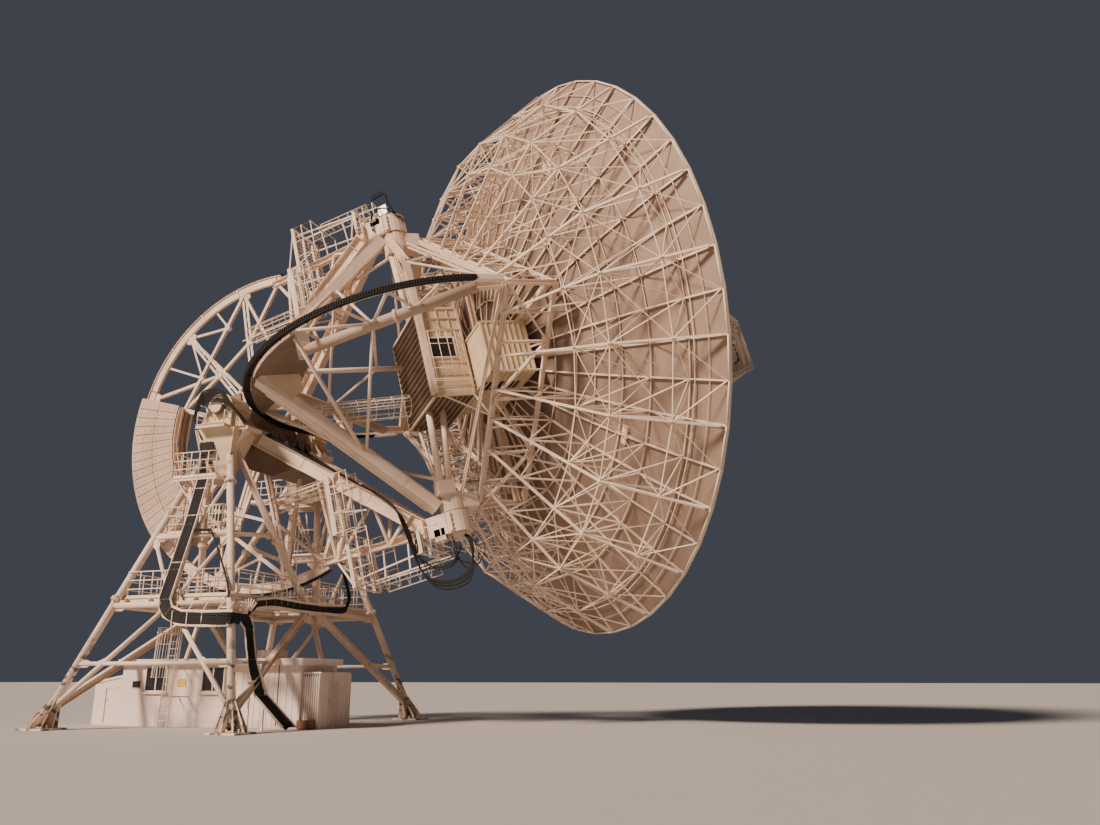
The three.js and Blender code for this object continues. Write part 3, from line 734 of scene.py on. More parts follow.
    def cable(self, route: Route, radius: float, sides: int = 6, steps: int = 6) -> None:
        """Adds a smooth tube along a route.

        Args:
            route: the points that it runs through.
            radius: of the tube.
            sides: of its section.
            steps: between two points.
        """
        pts = [Vector(p) for p in route]
        line = []
        for i in range(len(pts) - 1):
            p0, p1, p2, p3 = pts[max(i - 1, 0)], pts[i], pts[i + 1], pts[min(i + 2, len(pts) - 1)]
            for k in range(steps):
                t = k / steps
                line.append(0.5 * (2 * p1 + (p2 - p0) * t + (2 * p0 - 5 * p1 + 4 * p2 - p3) * t * t
                                   + (3 * p1 - p0 - 3 * p2 + p3) * t ** 3))
        line.append(pts[-1])
        side = (line[1] - line[0]).orthogonal().normalized()
        verts = []
        for i, p in enumerate(line):
            along = (line[min(i + 1, len(line) - 1)] - line[max(i - 1, 0)]).normalized()
            side = (side - along * side.dot(along)).normalized()
            other = along.cross(side)
            for k in range(sides):
                a = 2 * pi * k / sides
                verts.append(p + (side * cos(a) + other * sin(a)) * radius)
        n, last = sides, (len(line) - 1) * sides
        self.add(verts, self.skin(n, len(line) - 1), True)
        self.add(verts[:n], [tuple(range(n - 1, -1, -1))])
        self.add(verts[last:], [tuple(range(n))])

    def railing(self, route: Route, height: float = 1.1, rails: int = 2, pitch: float = 1.3,
                toe: float = 0.1) -> None:
        """Adds a guard rail on posts along a route.

        Args:
            route: the points along the deck's edge.
            height: how tall the posts are.
            rails: how many rails it has.
            pitch: the largest distance between posts.
            toe: height of the toe board; none when 0.
        """
        tube = pipe(0.024, 6)
        for a, b in zip(route, route[1:]):
            a, b = Vector(a), Vector(b)
            bays = max(1, ceil((b - a).length / pitch))
            for i in range(bays + 1):
                p = a.lerp(b, i / bays)
                self.member(p, p + Z * height, tube)
            for k in range(rails):
                lift = Z * height * (k + 1) / rails
                self.member(a + lift, b + lift, tube, Z, 0.02)
            if toe:
                self.bar(a + Z * toe / 2, b + Z * toe / 2, 0.012, toe)

    def ladder(self, foot: Point, head: Point, across: Point, width: float = 0.42, pitch: float = 0.3,
               cage: Optional[Point] = None, cage_from: float = 2.2) -> None:
        """Adds a ladder, with or without a hooped cage.

        Args:
            foot: its lower end.
            head: its upper end.
            across: the direction of the rungs.
            width: between the rails.
            pitch: between the rungs.
            cage: the side on which the cage stands; none without it.
            cage_from: where the cage starts above the foot.
        """
        a, b = Vector(foot), Vector(head)
        half = Vector(across).normalized() * width / 2
        along = (b - a).normalized()
        for s in SIDES:
            self.bar(a + half * s, b + half * s, 0.05, 0.022, half)
        length = (b - a).length
        for i in range(1, int(length / pitch) + 1):
            c = a + along * pitch * i
            self.tube(c - half, c + half, 0.014, 6)
        if cage is None:
            return
        out = Vector(cage).normalized()
        start = min(cage_from, length * 0.5)
        hoops = max(2, round((length - start) / 0.75))
        radius = width * 0.85
        arc = [radians(d) for d in range(-60, 241, 30)]

        def rim(t: float, a_: float) -> Vector:
            """A point of the cage at a height and an angle."""
            c = a + along * t + out * radius * 0.55
            return c + half.normalized() * cos(a_) * radius + out * sin(a_) * radius

        for i in range(hoops + 1):
            t = start + (length - start) * i / hoops
            points = [rim(t, a_) for a_ in arc]
            for p, q in zip(points, points[1:]):
                self.bar(p, q, 0.05, 0.01, along)
        for a_ in arc:
            self.bar(rim(start, a_), rim(length, a_), 0.04, 0.01, out)

    def grating(self, corner: Point, along: Point, across: Point, pitch: float = 0.11) -> None:
        """Adds a bar grating with an edge frame.

        Args:
            corner: one corner.
            along: the edge that the bars are spaced on.
            across: the edge that the bars are parallel to.
            pitch: between the bars.
        """
        c, e, f = Vector(corner), Vector(along), Vector(across)
        up = e.cross(f).normalized()
        for a, b in ((c, c + e), (c + f, c + e + f), (c, c + f), (c + e, c + e + f)):
            self.bar(a, b, 0.04, 0.07, up)
        for i in range(1, int(e.length / pitch)):
            p = c + e.normalized() * pitch * i
            self.bar(p, p + f, 0.012, 0.035, up)
        for i in range(1, max(2, int(f.length / 0.4))):
            p = c + f.normalized() * 0.4 * i
            self.bar(p, p + e, 0.012, 0.03, up)

    def arc(self, plane: tuple[Point, Point], radius: float, start: float, end: float, profile: Profile,
            offset: Point = (0, 0, 0), step: float = 2) -> None:
        """Adds a curved member about the datum's origin.

        Args:
            plane: the direction at 90 degrees, and the direction opposite to 0 degrees.
            radius: of its middle line.
            start: first angle, in degrees.
            end: last angle.
            profile: its section; its top points outwards.
            offset: shift of the centre.
            step: degrees in one straight piece.
        """
        e, up = Vector(plane[0]), Vector(plane[1])
        axis = e.cross(up)
        steps = max(1, round(abs(end - start) / step))
        verts = []
        n = len(profile.points)
        for i in range(steps + 1):
            a = radians(start + (end - start) * i / steps)
            out = e * sin(a) - up * cos(a)
            centre = Vector(offset) + out * radius
            verts += [centre + axis * s + out * t for s, t in profile.points]
        last = steps * n
        ends = [tuple(range(n - 1, -1, -1)), tuple(range(last, last + n))]
        self.add(verts, self.skin(n, steps) + ends)

    def build(self, replaces: Sequence[str] = (), slot: str = "frame_cream") -> bpy.types.Object:
        """Args:
            replaces: the CAD nodes that it stands for.
            slot: not used; it names the material slot of its main finish.

        Returns:
            The new object.
        """
        mesh = bpy.data.meshes.new(self.name)
        mesh.from_pydata([self.datum.at(v) for v in self.verts], [], self.faces)
        for finish in self.finishes:
            mesh.materials.append(finish.material())
        mesh.polygons.foreach_set("use_smooth", self.smooth)
        mesh.polygons.foreach_set("material_index", self.slots)
        mesh.validate()
        mesh.update()
        made = add_object(self.name, mesh)
        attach(made, self.datum.body.value)
        if replaces:
            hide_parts(*replaces)
        LOG.info("%s: %d faces on %s", self.name, len(self.faces), self.datum.body.value)
        return made


# Dish.
@dataclass
class ReflectorBack:
    """The trusses, ribs and purlins that carry the panels, in one piece for each sixth of the dish."""

    stations: tuple[float, ...] = (5.45, 6.65, 7.6, 8.9, 10.1, 11.6, 12.93)
    rear_nodes: tuple[float, ...] = (8.9, 10.35, 11.8)
    rib_section: Profile = angle(0.065, 0.008)
    chord: Profile = angle(0.075, 0.012)
    heavy: Profile = flat(0.085, 0.085)
    web: Profile = angle(0.058, 0.008)
    light: Profile = angle(0.042, 0.006)

    def top_z(self, radius: float) -> float:
        """Depth of the top chords, just under the panels."""
        slope = hypot(1, radius / (2 * FOCAL_LENGTH))
        return surface(radius) - 0.01 - 0.046 * slope

    def rear_z(self, degrees: float, radius: float) -> float:
        """Depth of a truss's rear chord, which has a knee.

        Args:
            degrees: the truss's angle.
            radius: from the dish's axis.

        Returns:
            The coordinate along the axis.
        """
        if radius < KNEE_R:
            inner = reach(degrees)
            return HUB_BACK + (radius - inner) / (KNEE_R - inner) * (KNEE_Z - HUB_BACK)
        rise = surface(DISH_RADIUS) - 0.16 - KNEE_Z
        return KNEE_Z + (radius - KNEE_R) / (DISH_RADIUS - KNEE_R) * rise

    def top(self, degrees: float, radius: float, drop: float = 0) -> Vector:
        """A point of the top chord."""
        return polar(degrees, radius, self.top_z(radius) - drop)

    def rear(self, degrees: float, radius: float) -> Vector:
        """A point of the rear chord."""
        return polar(degrees, radius, self.rear_z(degrees, radius))

    def nodes(self, degrees: float) -> list[float]:
        """Radii of the nodes of a truss's rear chord.

        Args:
            degrees: the truss's angle.

        Returns:
            The radii, from the hub outwards.
        """
        inner = reach(degrees)
        between = [(inner + self.rear_nodes[0]) / 2] if inner < 6.2 else []
        return [inner, *between, *self.rear_nodes]

    def main_truss(self, steel: Steelwork, degrees: float) -> None:
        """Adds one of the 24 main trusses.

        Args:
            steel: the mesh that gets it.
            degrees: its angle round the dish's axis.
        """
        tilt = polar(degrees + 90, 1)
        top, rear = partial(self.top, degrees), partial(self.rear, degrees)
        nodes = self.nodes(degrees)
        inner = nodes[0]
        for a, b in zip(nodes, nodes[1:] + [12.86]):
            steel.member(rear(a), rear(b), self.heavy, tilt, 0.03)
        tops = [inner] + [r for r in self.stations if r > inner + 0.4]
        bays = ceil((inner - 3) / 1.3)
        runs = [3 + (inner - 3) * i / bays for i in range(bays)] + tops
        for a, b in zip(runs, runs[1:]):
            steel.member(top(a), top(b), self.chord, tilt, 0.02)
        steel.member(top(1.05, 0.01), top(3, 0.01), self.chord, tilt)
        steel.member(rear(inner), top(inner), self.web, tilt)
        for node in nodes:
            nearest = min(range(len(tops)), key=lambda k: abs(tops[k] - node))
            for k in (nearest - 1, nearest, nearest + 1):
                if 0 <= k < len(tops) - (node < 11):
                    steel.member(rear(node), top(tops[k]), self.web, tilt)
            steel.gusset(rear(node), rear(node + 0.3) - rear(node), Z, 0.24, 0.16, 0.016)
        for r in tops[1:-1]:
            steel.gusset(top(r, 0.06), top(r + 0.1) - top(r), Z, 0.18, 0.11, 0.014)

    def rib(self, steel: Steelwork, degrees: float) -> None:
        """Adds a light rib between two main trusses.

        Args:
            steel: the mesh that gets it.
            degrees: its angle round the dish's axis.
        """
        tilt, top = polar(degrees + 90, 1), partial(self.top, degrees)
        radii = [3] + [r for r in self.stations if r > 5]
        for a, b in zip(radii, radii[1:]):
            steel.member(top(a, 0.03), top(b, 0.03), self.rib_section, tilt, 0.01)

    def ties(self, steel: Steelwork, degrees: float) -> None:
        """Adds the ring ties and the pyramids between a main truss and the next one.

        Args:
            steel: the mesh that gets it.
            degrees: the first truss's angle.
        """
        other = degrees + 15
        for r in self.rear_nodes:
            steel.member(self.rear(degrees, r), self.rear(other, r), self.web)
            for side in (7.5, -7.5):
                base = degrees if side > 0 else other
                for station in self.stations:
                    if -0.2 < station - r < 1.4 or abs(station - r) < 0.4:
                        steel.member(self.rear(base, r), self.top(base + side, station, 0.05), self.light)
        for first, second in ((8.9, 10.35), (10.35, 8.9), (10.35, 11.8)):
            steel.member(self.rear(degrees, first), self.rear(other, second), self.light)

    def purlins(self, steel: Steelwork, degrees: float) -> None:
        """Adds the purlins of one bay of 7.5 degrees.

        Args:
            steel: the mesh that gets it.
            degrees: where the bay starts.
        """
        lines = [(r, 0, angle(0.045, 0.006)) for r in self.stations[:-1]]
        lines += [(11.8, 0.03, self.light), (12.3, 0, flat(0.02, 0.05))]
        lines += [(r, 0, self.web) for r in (1.1, 3)]
        for r, drop, profile in lines:
            steel.member(self.top(degrees, r, drop), self.top(degrees + 7.5, r, drop), profile)

    def rim(self, steel: Steelwork, degrees: float) -> None:
        """Adds one straight length of the rim tube and its edge angle.

        Args:
            steel: the mesh that gets it.
            degrees: where it starts.
        """
        for radius, drop, profile in ((12.96, 0.1, pipe(0.036, 8)), (12.99, 0.02, flat(0.012, 0.09))):
            z = surface(DISH_RADIUS) - drop
            steel.member(polar(degrees, radius, z), polar(degrees + 7.5, radius, z), profile)

    def build(self) -> None:
        """Builds the six sectors."""
        for s in range(6):
            steel = Steelwork(f"back_structure_{s + 1}", DISH, TRUSS_PAINT)
            for k in range(4):
                degrees = 7.5 + 60 * s + 15 * k
                self.main_truss(steel, degrees)
                self.rib(steel, degrees + 7.5)
                self.ties(steel, degrees)
                for half in (0, 7.5):
                    self.purlins(steel, degrees + half)
                    self.rim(steel, degrees + half)
            steel.build([f"truss_sector_{s + 1}"])
        cover = Steelwork("vertex_cover", DISH, FRONT_PAINT)
        cover.tube(*span(0, 0, (VERTEX_Z - 0.035, VERTEX_Z)), 1.06, 72)
        cover.tube(*span(0, 0, (VERTEX_Z - 0.02, VERTEX_Z + 0.02)), 0.52, 48)
        cover.bolts((0, 0, VERTEX_Z + 0.02), Z, 0.45, 16, 0.04, 0.03)
        cover.bolts((0, 0, VERTEX_Z + 0.005), Z, 0.93, 24, 0.04, 0.03)
        cover.build(slot="reflector_panel")


@dataclass
class Hub:
    """The square box frame behind the reflector, set cornerwise, and its trunnions."""

    posts_per_side: int = 4

    def corners(self, z: float) -> list[Vector]:
        """The four corners at a depth, from the top one round past the near one."""
        return [Vector((-CORNER_V, 0, z)), Vector((0, -CORNER_W, z)), Vector((CORNER_V, 0, z)),
                Vector((0, CORNER_W, z))]

    def build(self) -> None:
        """Builds the frame, its lattice sides and its joint plates."""
        steel = Steelwork("hub_steelwork", DISH)
        back, front = self.corners(HUB_BACK), self.corners(HUB_FRONT)
        low = self.corners(HUB_FRONT - 0.32)
        look = Z
        for i in range(4):
            j = (i + 1) % 4
            chord = wide_flange(0.24, 0.4, 0.03, 0.1) if i in (0, 3) else wide_flange(0.17, 0.2, 0.024, 0.02)
            steel.member(back[i], back[j], chord, look)
            steel.member(front[i], front[j], wide_flange(0.16, 0.18, 0.02, 0.016), look)
            steel.member(back[i], front[i] + Z * 0.06, wide_flange(0.18, 0.18), X)
            side = (back[j] - back[i]).normalized()
            bays = self.posts_per_side
            for k in range(bays):
                a, b = lerp(back[i], back[j], k / bays), lerp(back[i], back[j], (k + 1) / bays)
                c, d = lerp(front[i], front[j], k / bays), lerp(front[i], front[j], (k + 1) / bays)
                if k:
                    steel.member(a, c, angle(0.11), side)
                foot, head = (b, c) if k % 2 else (a, d)
                steel.pair(foot, head, angle(0.08, 0.01), 0.11, side)
                steel.gusset(lerp(foot, head, 0.06), head - foot, side, 0.3, 0.22)
                steel.gusset(lerp(foot, head, 0.94), head - foot, side, 0.3, 0.22)
                mid_back, mid_front = (a + b) / 2, (c + d) / 2
                steel.member(mid_back, mid_front, angle(0.07, 0.01), side)
            for (point, other), t in product(((back[i], back[j]), (front[i], front[j])), (0.045, 0.955)):
                place = lerp(point, other, t)
                steel.gusset(place + Z * (0.16 if point is back[i] else -0.14), other - point,
                             side.cross(Vector(look)), 0.4, 0.24, 0.02)
        for a, b in ((0, 2), (1, 3)):
            steel.member(low[a], low[b], wide_flange(0.2, 0.24), look)
            steel.member(back[a], lerp(low[a], low[b], 0.16), angle(0.12), Y)
            steel.member(back[b], lerp(low[a], low[b], 0.84), angle(0.12), Y)
        for i in range(4):
            j = (i + 1) % 4
            steel.member(lerp(front[i], front[j], 0.5), lerp(low[0], low[2], 0.5), angle(0.12), look)
            for t in (0.25, 0.75):
                inner = lerp(low[i], low[j], t) * 0.5 + Z * ((HUB_FRONT - 0.32) / 2)
                steel.member(lerp(front[i], front[j], t), inner, angle(0.08), look)
        near_corner = back[1] + Vector((0, 0.15, -0.12))
        for sign in SIDES:
            steel.pair(near_corner, (sign * 6.3, -0.35, 0.35), angle(0.09), 0.16)
        steel.build(["hub_frame"])


@dataclass
class UpperGearWheel:
    """The half wheel on the dish with its gear rack, tubes, box beams and plated apex."""

    tooth_pitch: float = 0.11
    rack_half_arc: float = 88

    @staticmethod
    def rim_point(degrees: float, radius: float, v: float = 0) -> Vector:
        """A point of the wheel's plane by its angle from the apex."""
        a = radians(degrees)
        return Vector((v, radius * sin(a), -radius * cos(a)))

    def rack(self) -> None:
        """Builds the teeth, the rack's side flanges and the pale end plates."""
        at = self.rim_point
        steel = Steelwork("upper_gear_rack", DISH, GEAR)
        r, plane = Y_WHEEL_RADIUS, (Y, Z)
        steel.arc(plane, r - 0.15, -88, 88, flat(0.06, 0.28))
        steel.arc(plane, r - 0.04, -88, 88, flat(0.22, 0.06))
        count = int(2 * radians(self.rack_half_arc) * r / self.tooth_pitch)
        for i in range(count + 1):
            d = -self.rack_half_arc + 2 * self.rack_half_arc * i / count
            base, tip = at(d, r - 0.01), at(d, r + 0.045)
            steel.bar(base, tip, 0.13, 0.05, at(d + 90, 1))
        for v in (-0.095, 0.095):
            steel.arc(plane, r - 0.01, -88, 88, flat(0.03, 0.07), (v, 0, 0))
        for d, v in product(range(-84, 85, 12), (-0.045, 0.045)):
            a, b = (at(d, r - 0.27, v), at(d, r - 0.08, v * 2))
            steel.bar(a, b, 0.016, 0.1, at(d, 1))
        steel.use(PALE)
        for d in (-92.4, 92.4):
            steel.arc(plane, r - 0.11, d - 4.4, d + 4.4, flat(0.2, 0.24), step=2.2)
        steel.arc(plane, r - 0.29, -88, 88, flat(0.09, 0.02))
        steel.build(["y_wheel_rim"], "gear_dark")

    def box_beams(self) -> None:
        """Builds flange plates, splices and bolts on the two box beams."""
        steel = Steelwork("box_beam_plates", DISH)
        for sx in SIDES:
            a, b = Vector((sx * 0.25, 0, -7.25)), Vector((sx * 6.65, 0, -0.72))
            along = (b - a).normalized()
            for s, t in product((-0.25, 0.25), (-0.285, 0.285)):
                top = along.cross(Y)
                shift = Y * (s * 0.96) + top * t
                steel.bar(a + along * 0.6 + shift, b - along * 0.3 + shift, 0.07, 0.014, top)
            for share in (0.13, 0.45, 0.78):
                c = lerp(a, b, share)
                steel.bar(c - along * 0.3, c + along * 0.3, 0.5, 0.58, Y)
                for s, x, y in product(SIDES, (-0.22, -0.13, 0.13, 0.22), (-0.2, -0.07, 0.07, 0.2)):
                    p = c + along * x + Y * (s * 0.29) + along.cross(Y) * y
                    steel.tube(p, p + Y * (s * 0.018), 0.018, 6)
        steel.build()

    def web(self) -> None:
        """Builds the round tubes, the braces in the wheel's plane and the ties to the box beams."""
        at = self.rim_point
        steel = Steelwork("upper_wheel_web", DISH)
        inner = Y_WHEEL_RADIUS - 0.29
        nodes = (Vector((0, 4.11, -3.4)), Vector((0, 5.35, -2)))
        steel.tube(*span(0, 0, (-5.9, -1)), 0.11, 16)
        hub_end = Z * -2.16
        for s in SIDES:
            n1, n2 = (Vector((0, s * n.y, n.z)) for n in nodes)
            # Painted shade: the big tubes from the apex take a darker tan for the shade on them.
            steel.use(HALF_SHADE_PAINT)
            steel.tube((0, s * 0.9, -6.85), (0, s * 7.05, 0.03), 0.23, 24)
            steel.use(CREAM)
            steel.member((0, s * 7.05, -0.06), (0, s * 7.23, 1.15), wide_flange(0.28, 0.3), X)
            steel.joint(lerp((0, s * 0.9, -6.85), (0, s * 7.05, 0.03), 0.62), (0, s * 6.15, 6.88), 0.3)
            for d, node, radius in ((29, n1, 0.075), (46, n1, 0.062), (62, n1, 0.068), (62, n2, 0.06),
                                    (78, n2, 0.065)):
                steel.tube(at(s * d, inner), node, radius, 12)
                steel.gusset(at(s * d, inner - 0.12), node - at(s * d, inner), at(s * d + 90, 1), 0.34, 0.22)
            steel.tube(n1, hub_end, 0.06, 12)
            for n in (n1, n2):
                steel.gusset(n, (0, s * 6.15, 6.88), (0, -s * 6.88, 6.15), 0.6, 0.5, 0.024)
            for sx in SIDES:
                mid = Vector((sx * 4.04, 0, -3.35))
                steel.tube((0, s * 3.56, -6.56), mid, 0.085, 12)
                steel.tube(n1, mid, 0.068, 12)
        # Painted shade: the web plates at the apex face down and take the dark shade colour.
        steel.use(SHADED_SHEET)
        arc_points = [at(d, inner) for d in range(-30, 31, 5)]
        inside = [(0, 3.5, -6.45), (0, 1.6, -5.9), (0, 1.4, -5.3), (0, 0.4, -5.45),
                  (0, -0.4, -5.45), (0, -1.4, -5.3), (0, -1.6, -5.9), (0, -3.5, -6.45)]
        for v in (-0.23, 0.23):
            shift = X * v
            steel.plate([Vector(p) + shift for p in arc_points + inside], 0.02)
        steel.use(YELLOWED)
        for w in (-0.3, 0.3):
            corners = ((-0.5, -6.95), (0.5, -6.95), (1.35, -6.1), (1, -5.6), (-1, -5.6), (-1.35, -6.1))
            steel.plate([Vector((v, w, b)) for v, b in corners], 0.02)
        steel.use(PALE)
        for v in (-0.26, 0.26):
            steel.bar(*span(v, 0, (-7.4, -5.3)), 0.04, 0.05, Y)
        steel.build(["y_wheel_web"])

    def build(self) -> None:
        """Builds all parts of the wheel."""
        self.rack()
        self.web()
        self.box_beams()


@dataclass
class ReceiverRooms:
    """The receiver cabin, the room behind the vertex, and the posts and ties that carry them."""

    cabin: tuple[Point, Point] = ((-1.55, -2.6, -0.8), (2.6, 1, 0.98))
    vertex_room: tuple[Point, Point] = ((0.08, -4.3, 1.15), (2.4, -0.09, 3.16))
    window: tuple[float, float, float, float] = (-0.1, 0.85, -0.62, 0.55)

    @staticmethod
    def edges(steel: Steelwork, low: Point, high: Point, width: float) -> None:
        """Adds a square trim along each edge of a room.

        Args:
            steel: the mesh that gets it.
            low: the room's lowest corner.
            high: the opposite corner.
            width: of the trim.
        """
        trim = flat(width, width)
        for i in range(3):
            j, k = (i + 1) % 3, (i + 2) % 3
            for a, b in product((low[j], high[j]), (low[k], high[k])):
                start, end = [0] * 3, [0] * 3
                start[i], end[i] = low[i], high[i]
                start[j] = end[j] = a
                start[k] = end[k] = b
                steel.member(start, end, trim, Z if i < 2 else X, width / 2)

    def dress_cabin(self) -> None:
        """Adds cladding ribs, joists, panel rails, the window and its guard frame."""
        (v0, w0, b0), (v1, w1, b1) = self.cabin
        steel = Steelwork("receiver_cabin_cladding", DISH, YELLOWED)
        self.edges(steel, (v0, w0, b0), (v1, w1, b1), 0.1)
        # Painted shade, partly real dirt: the rear backing, its ribs and the rails below take the dark shade
        # colour.
        steel.use(SHADED_SHEET)
        steel.block((v0 + 0.05, w0 + 0.05, b0 - 0.012), (v1 - 0.05, w1 - 0.05, b0 - 0.002))
        for i in range(15):
            v = v0 + 0.14 + 0.28 * i
            steel.member(*span(v, (w0 + 0.05, w1 - 0.05), b0 - 0.05), channel(0.07, 0.09), X)
        for i in range(7):
            b = b0 + 0.15 + 0.25 * i
            steel.member(*span(v1 + 0.05, (w0, w1), b), channel(0.08, 0.11))
            steel.bar(*span(v0 - 0.03, (w0, w1), b), 0.04, 0.06)
        steel.use(YELLOWED)
        for w, v in product((w0 - 0.022, w1 + 0.022), (-1.05, -0.5, 1.1, 1.65, 2.15)):
            steel.bar(*span(v, w, (b0, b1)), 0.045, 0.05, Y)
        for b in (-0.42, 0.02, 0.52):
            steel.bar(*span((v0, -0.25), w0 - 0.022, b), 0.03, 0.05, Y)
        steel.block((0.22, w0 - 0.02, -0.42), (1.58, w0 - 0.004, 0.52))
        c, d, e, f = self.window
        steel.use(GLASS)
        steel.block((c, w0 - 0.04, e), (d, w0 - 0.021, f))
        steel.use(PALE)
        for v in (c, d):
            steel.bar(*span(v, w0 - 0.03, (e - 0.04, f + 0.04)), 0.07, 0.08, Y)
        for b in (e, f):
            steel.bar(*span((c, d), w0 - 0.03, b), 0.07, 0.08, Y)
        guard = pipe(0.017, 6)
        for b in (-0.66, -0.25, 0.16, 0.57):
            steel.member(*span((-0.3, 1.95), w0 - 0.28, b), guard)
        for v in (-0.3, 0.3, 0.95, 1.45, 1.95):
            steel.member(*span(v, w0 - 0.28, (-0.7, 0.6)), guard)
            for b in (-0.7, 0.6):
                steel.member(*span(v, (w0, w0 - 0.28), b), guard)
        for v in (2.05, 2.35):
            steel.member(*span(v, w0 - 0.3, (b0, b1 + 0.6)), guard)
        steel.use(LOUVRE)
        steel.block((0.55, w1 - 0.02, -0.3), (1.35, w1 + 0.03, 0.4))
        steel.build(slot="housing_yellowed")

    def dress_room(self) -> None:
        """Adds ribs, edges and the louvre of the second room."""
        (v0, w0, b0), (v1, w1, b1) = self.vertex_room
        steel = Steelwork("vertex_room_cladding", DISH, YELLOWED)
        self.edges(steel, (v0, w0, b0), (v1, w1, b1), 0.08)
        for i in range(1, 8):
            b = b0 + (b1 - b0) * i / 8
            steel.bar(*span((v0, v1), w0 - 0.02, b), 0.04, 0.045, Y)
            steel.bar(*span(v1 + 0.02, (w0, w1), b), 0.045, 0.04)
        for i in range(1, 14):
            w = w0 + (w1 - w0) * i / 14
            steel.bar(*span(v0 - 0.02, w, (b0, b1)), 0.035, 0.04, Y)
        steel.use(LOUVRE)
        steel.block((0.45, -3.95, b1 - 0.01), (1.75, -2.55, b1 + 0.02))
        for i in range(9):
            v = 0.52 + 0.145 * i
            steel.bar(*span(v, (-3.95, -2.55), b1 + 0.05), 0.014, 0.1, (0.6, 0, 1))
        steel.use(PALE)
        for v in (0.42, 1.78):
            steel.bar(*span(v, (-3.98, -2.52), b1 + 0.04), 0.06, 0.1)
        for w in (-3.98, -2.52):
            steel.bar(*span((0.42, 1.78), w, b1 + 0.04), 0.06, 0.1)
        steel.build(slot="housing_yellowed")

    def posts(self) -> None:
        """Builds the round posts, the thick corner post and its thin ties."""
        steel = Steelwork("cabin_posts", DISH)
        for s, start in ((-1, -1.25), (1, 2.3)):
            steel.tube((start, -1.1, -0.6), (s * 6.25, -0.3, -0.5), 0.15, 24)
            steel.tube((start, -1.1, 0.06), (s * 6.25, -0.3, -0.18), 0.15, 24)
            steel.block((s * 5.62, -0.66, -0.72), (s * 6.2, -0.06, 0.02))
            steel.bar((s * 5.5, -0.42, -0.62), (s * 4.6, 0.35, -2.4), 0.12, 0.1)
            steel.tube((start, 0.7, 0.7), (s * 6, 0.2, 0.2), 0.06, 12)
            steel.tube((start, 0.7, -0.6), (s * 6, 0.2, -0.3), 0.06, 12)
        corner, head = Vector((-1.5, -2.68, -0.84)), Vector((-3.85, -2.68, -0.84))
        steel.member((2.55, -2.68, -0.84), head, wide_flange(0.26, 0.26), Y)
        steel.pair(head, (-6.6, -0.45, -0.55), wide_flange(0.13, 0.15), 0.24)
        steel.tube(head, (-0.25, -7.2, 1.15), 0.055, 10)
        steel.member(head, (-4.6, -2.3, 1.15), angle(0.1), Y)
        steel.member(corner, (-1.2, -5.85, 1.2), angle(0.09))
        steel.pair((-6.55, -0.35, -0.35), (-0.45, -2.62, -0.86), angle(0.09), 0.2)
        for w, s in product((-2.55, 0.95), SIDES):
            steel.member((0.5 + s * 1.9, w, 0.9), (s * 3.6 + 0.3, w * 1.25, 1.25), angle(0.09))
            steel.member((0.5 + s * 1.9, w, -0.7), (s * 3.6 + 0.3, w * 1.25, 1.25), angle(0.08))
        steel.gusset(head, X, Z, 0.6, 0.45, 0.03)
        steel.use(PALE)
        steel.ladder((1.3, 1.25, -5.75), (1.4, 0.45, -0.88), (0.1, 1, 0), 0.55, 0.3, X, 0.3)
        steel.build(["cabin_posts_top", "cabin_posts_bottom"])

    def build(self) -> None:
        """Builds all parts of the rooms."""
        self.dress_cabin()
        self.dress_room()
        self.posts()


